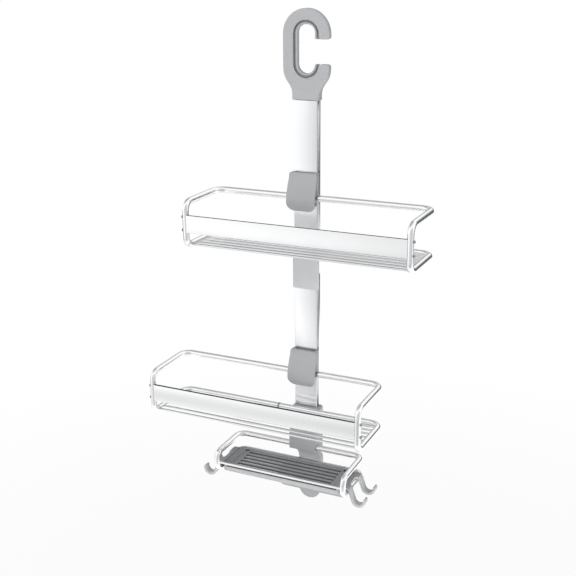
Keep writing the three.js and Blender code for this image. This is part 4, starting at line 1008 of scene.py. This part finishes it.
# The end of the tray that curls over the frame's tube, down to its twin hooks
def makeBand(side, low, rim, bandY):
    s, lines = traySizes, soapLines
    half, centre = s["flange"] / 2, lines["centre"]
    curl = common["tubeRadius"] + common["seatGap"] + half
    curlX, curlZ = lines["right"] - centre, lines["bottom"]
    lean = math.radians(s["lean"])
    across = curl + s["bowl"]
    bowlX = curlX + across * math.cos(lean) + s["shank"] * math.sin(lean)
    bowlZ = curlZ + across * math.sin(lean) - s["shank"] * math.cos(lean)
    tipX, tipZ = bowlX + s["bowl"], bowlZ + s["lip"]
    start = curlX - s["endGap"] - 1
    outline = [(start, rim)] + arc(curlX, curlZ, curl + half, 90, s["lean"], 14)
    outline += arc(bowlX, bowlZ, s["bowl"] - half, 180 + s["lean"], 360, 24)
    outline += arc(tipX, tipZ, half, 180, 0, 10)
    outline += arc(bowlX, bowlZ, s["bowl"] + half, 360, 180 + s["lean"], 28)
    outline += arc(curlX, curlZ, curl - half, s["lean"], 90, 12) + [(start, rim - s["flange"])]
    slotX, halfSlot, halfBand = curlX + s["slotStart"], s["slot"] / 2, s["bandWidth"] / 2
    slot = roundedRectangle(slotX, slotX + past, bandY - halfSlot, bandY + halfSlot, s["slotCorner"], 8)
    outline, slot = ([(centre + side * u, v) for u, v in line] for line in (outline, slot))
    band = link("band", prism(outline, "y", bandY - halfBand, bandY + halfBand))
    combine("DIFFERENCE", band, link("slot", prism(slot, "z", low.z - past, rim + past)))
    return soften(band, s["soft"], 3, 32)


def makeTray():
    s, lines = traySizes, soapLines
    low, high = box("soap_tray")
    rim, bottom = high.z, high.z - s["height"]
    x0, x1 = lines["left"] + s["endGap"], lines["right"] - s["endGap"]
    inside = (x0 + s["endRim"], x1 - s["endRim"], low.y + s["wall"], high.y - s["wall"])
    pan = link("soapTray", prism(roundedRectangle(x0, x1, low.y, high.y, s["corner"], 8), "z", bottom, rim))
    floorTop = rim - s["floorDrop"]
    hollow = roundedRectangle(*inside, s["corner"] - s["wall"], 6)
    well = link("well", prism(hollow, "z", floorTop, rim + past))
    under = link("under", prism(hollow, "z", bottom - past, floorTop - s["floor"]))
    pitch = (inside[3] - inside[2]) / s["ribs"]
    drainWidth = pitch - s["ribWidth"] - 2 * s["drainMargin"]
    ends = (x0 + s["ribInset"], x1 - s["ribInset"])
    firstRib = inside[2] + pitch / 2
    steps = [(0, pitch * i, 0) for i in range(s["ribs"])]
    firstDrain = firstRib + pitch / 2
    drain = roundedRectangle(*ends, firstDrain - drainWidth / 2, firstDrain + drainWidth / 2, s["drainCorner"], 5)
    drains = copied("drains", link("drain", prism(drain, "z", bottom - past, rim + past)), "tray_plastic", steps[:-1])
    holes = [link("hole", rod("z", s["holeRadius"], bottom - past, rim + past, x, inside[3] - s["holeInset"], 24))
             for x in (inside[0] + s["holeInset"], inside[1] - s["holeInset"])]
    grooveTop = rim - s["lipHeight"]
    groove = roundedRectangle(low.y - past, low.y + s["lipDepth"], grooveTop - s["lipGroove"], grooveTop,
                              s["lipCorner"], 4)
    lipGroove = link("lipGroove", prism(groove, "x", x0 + s["corner"], x1 - s["corner"]))
    combine("DIFFERENCE", pan, well, under, drains, lipGroove, *holes)
    soften(pan, s["soft"], 3, 32)
    halfRib = s["ribWidth"] / 2
    crown = floorTop + s["ribHeight"] - halfRib
    section = [(firstRib - halfRib, floorTop - 2)] + arc(firstRib, crown, halfRib, 180, 0, 8)
    section += [(firstRib + halfRib, floorTop - 2)]
    ribs = copied("ribs", link("rib", prism(section, "x", *ends)), "tray_plastic", steps)
    bands = [makeBand(side, low, rim, (low.y + high.y) / 2) for side in (-1, 1)]
    return merge(pan, ribs, *bands)


# True on the walls of the drains and holes in the tray's floor, which get a near-black finish as painted shade
def drainTest(low, high, floorTop):
    s, centre = traySizes, soapLines["centre"]
    reachX = soapLines["right"] - s["endGap"] - s["endRim"] + 1 - centre
    middleY, reachY = (low.y + high.y) / 2, (high.y - low.y) / 2 - s["wall"] + 0.05
    return lambda at, facing: (abs(facing.z) < 0.5 and floorTop > at.z > floorTop - s["drainShadeDepth"]
                               and abs(at.x - centre) < reachX and abs(at.y - middleY) < reachY)


tray = dress(makeTray(), "soap_dish", "tray_plastic", "soap_tray")
low, high = box("soap_tray")
wellFloor = high.z - traySizes["floorDrop"]
# Painted shade: the tray's up-facing faces get a darker copy of its plastic
paintFaces(tray, "shaded_tray_top", lambda at, facing: facing.z > 0.8 and at.z > wellFloor - 0.05)
# Painted shade: the drain and hole walls get a near-black finish
paintFaces(tray, "drain_shade", drainTest(low, high, wellFloor))
print("soap dish made")

# Small CAD pieces that keep their shape
carried = {"splice_bar": "rail_aluminium", "foot_plug": "grey_plastic"}
for level in levels:
    carried[level + "_lever_pin"] = "screw_steel"
    carried[level + "_rail_pad"] = "pad_rubber"
    carried[level + "_tube_pad"] = "pad_rubber"
for node, finish in carried.items():
    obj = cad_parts[node]
    obj.data.materials.clear()
    obj.data.materials.append(finishes[finish])
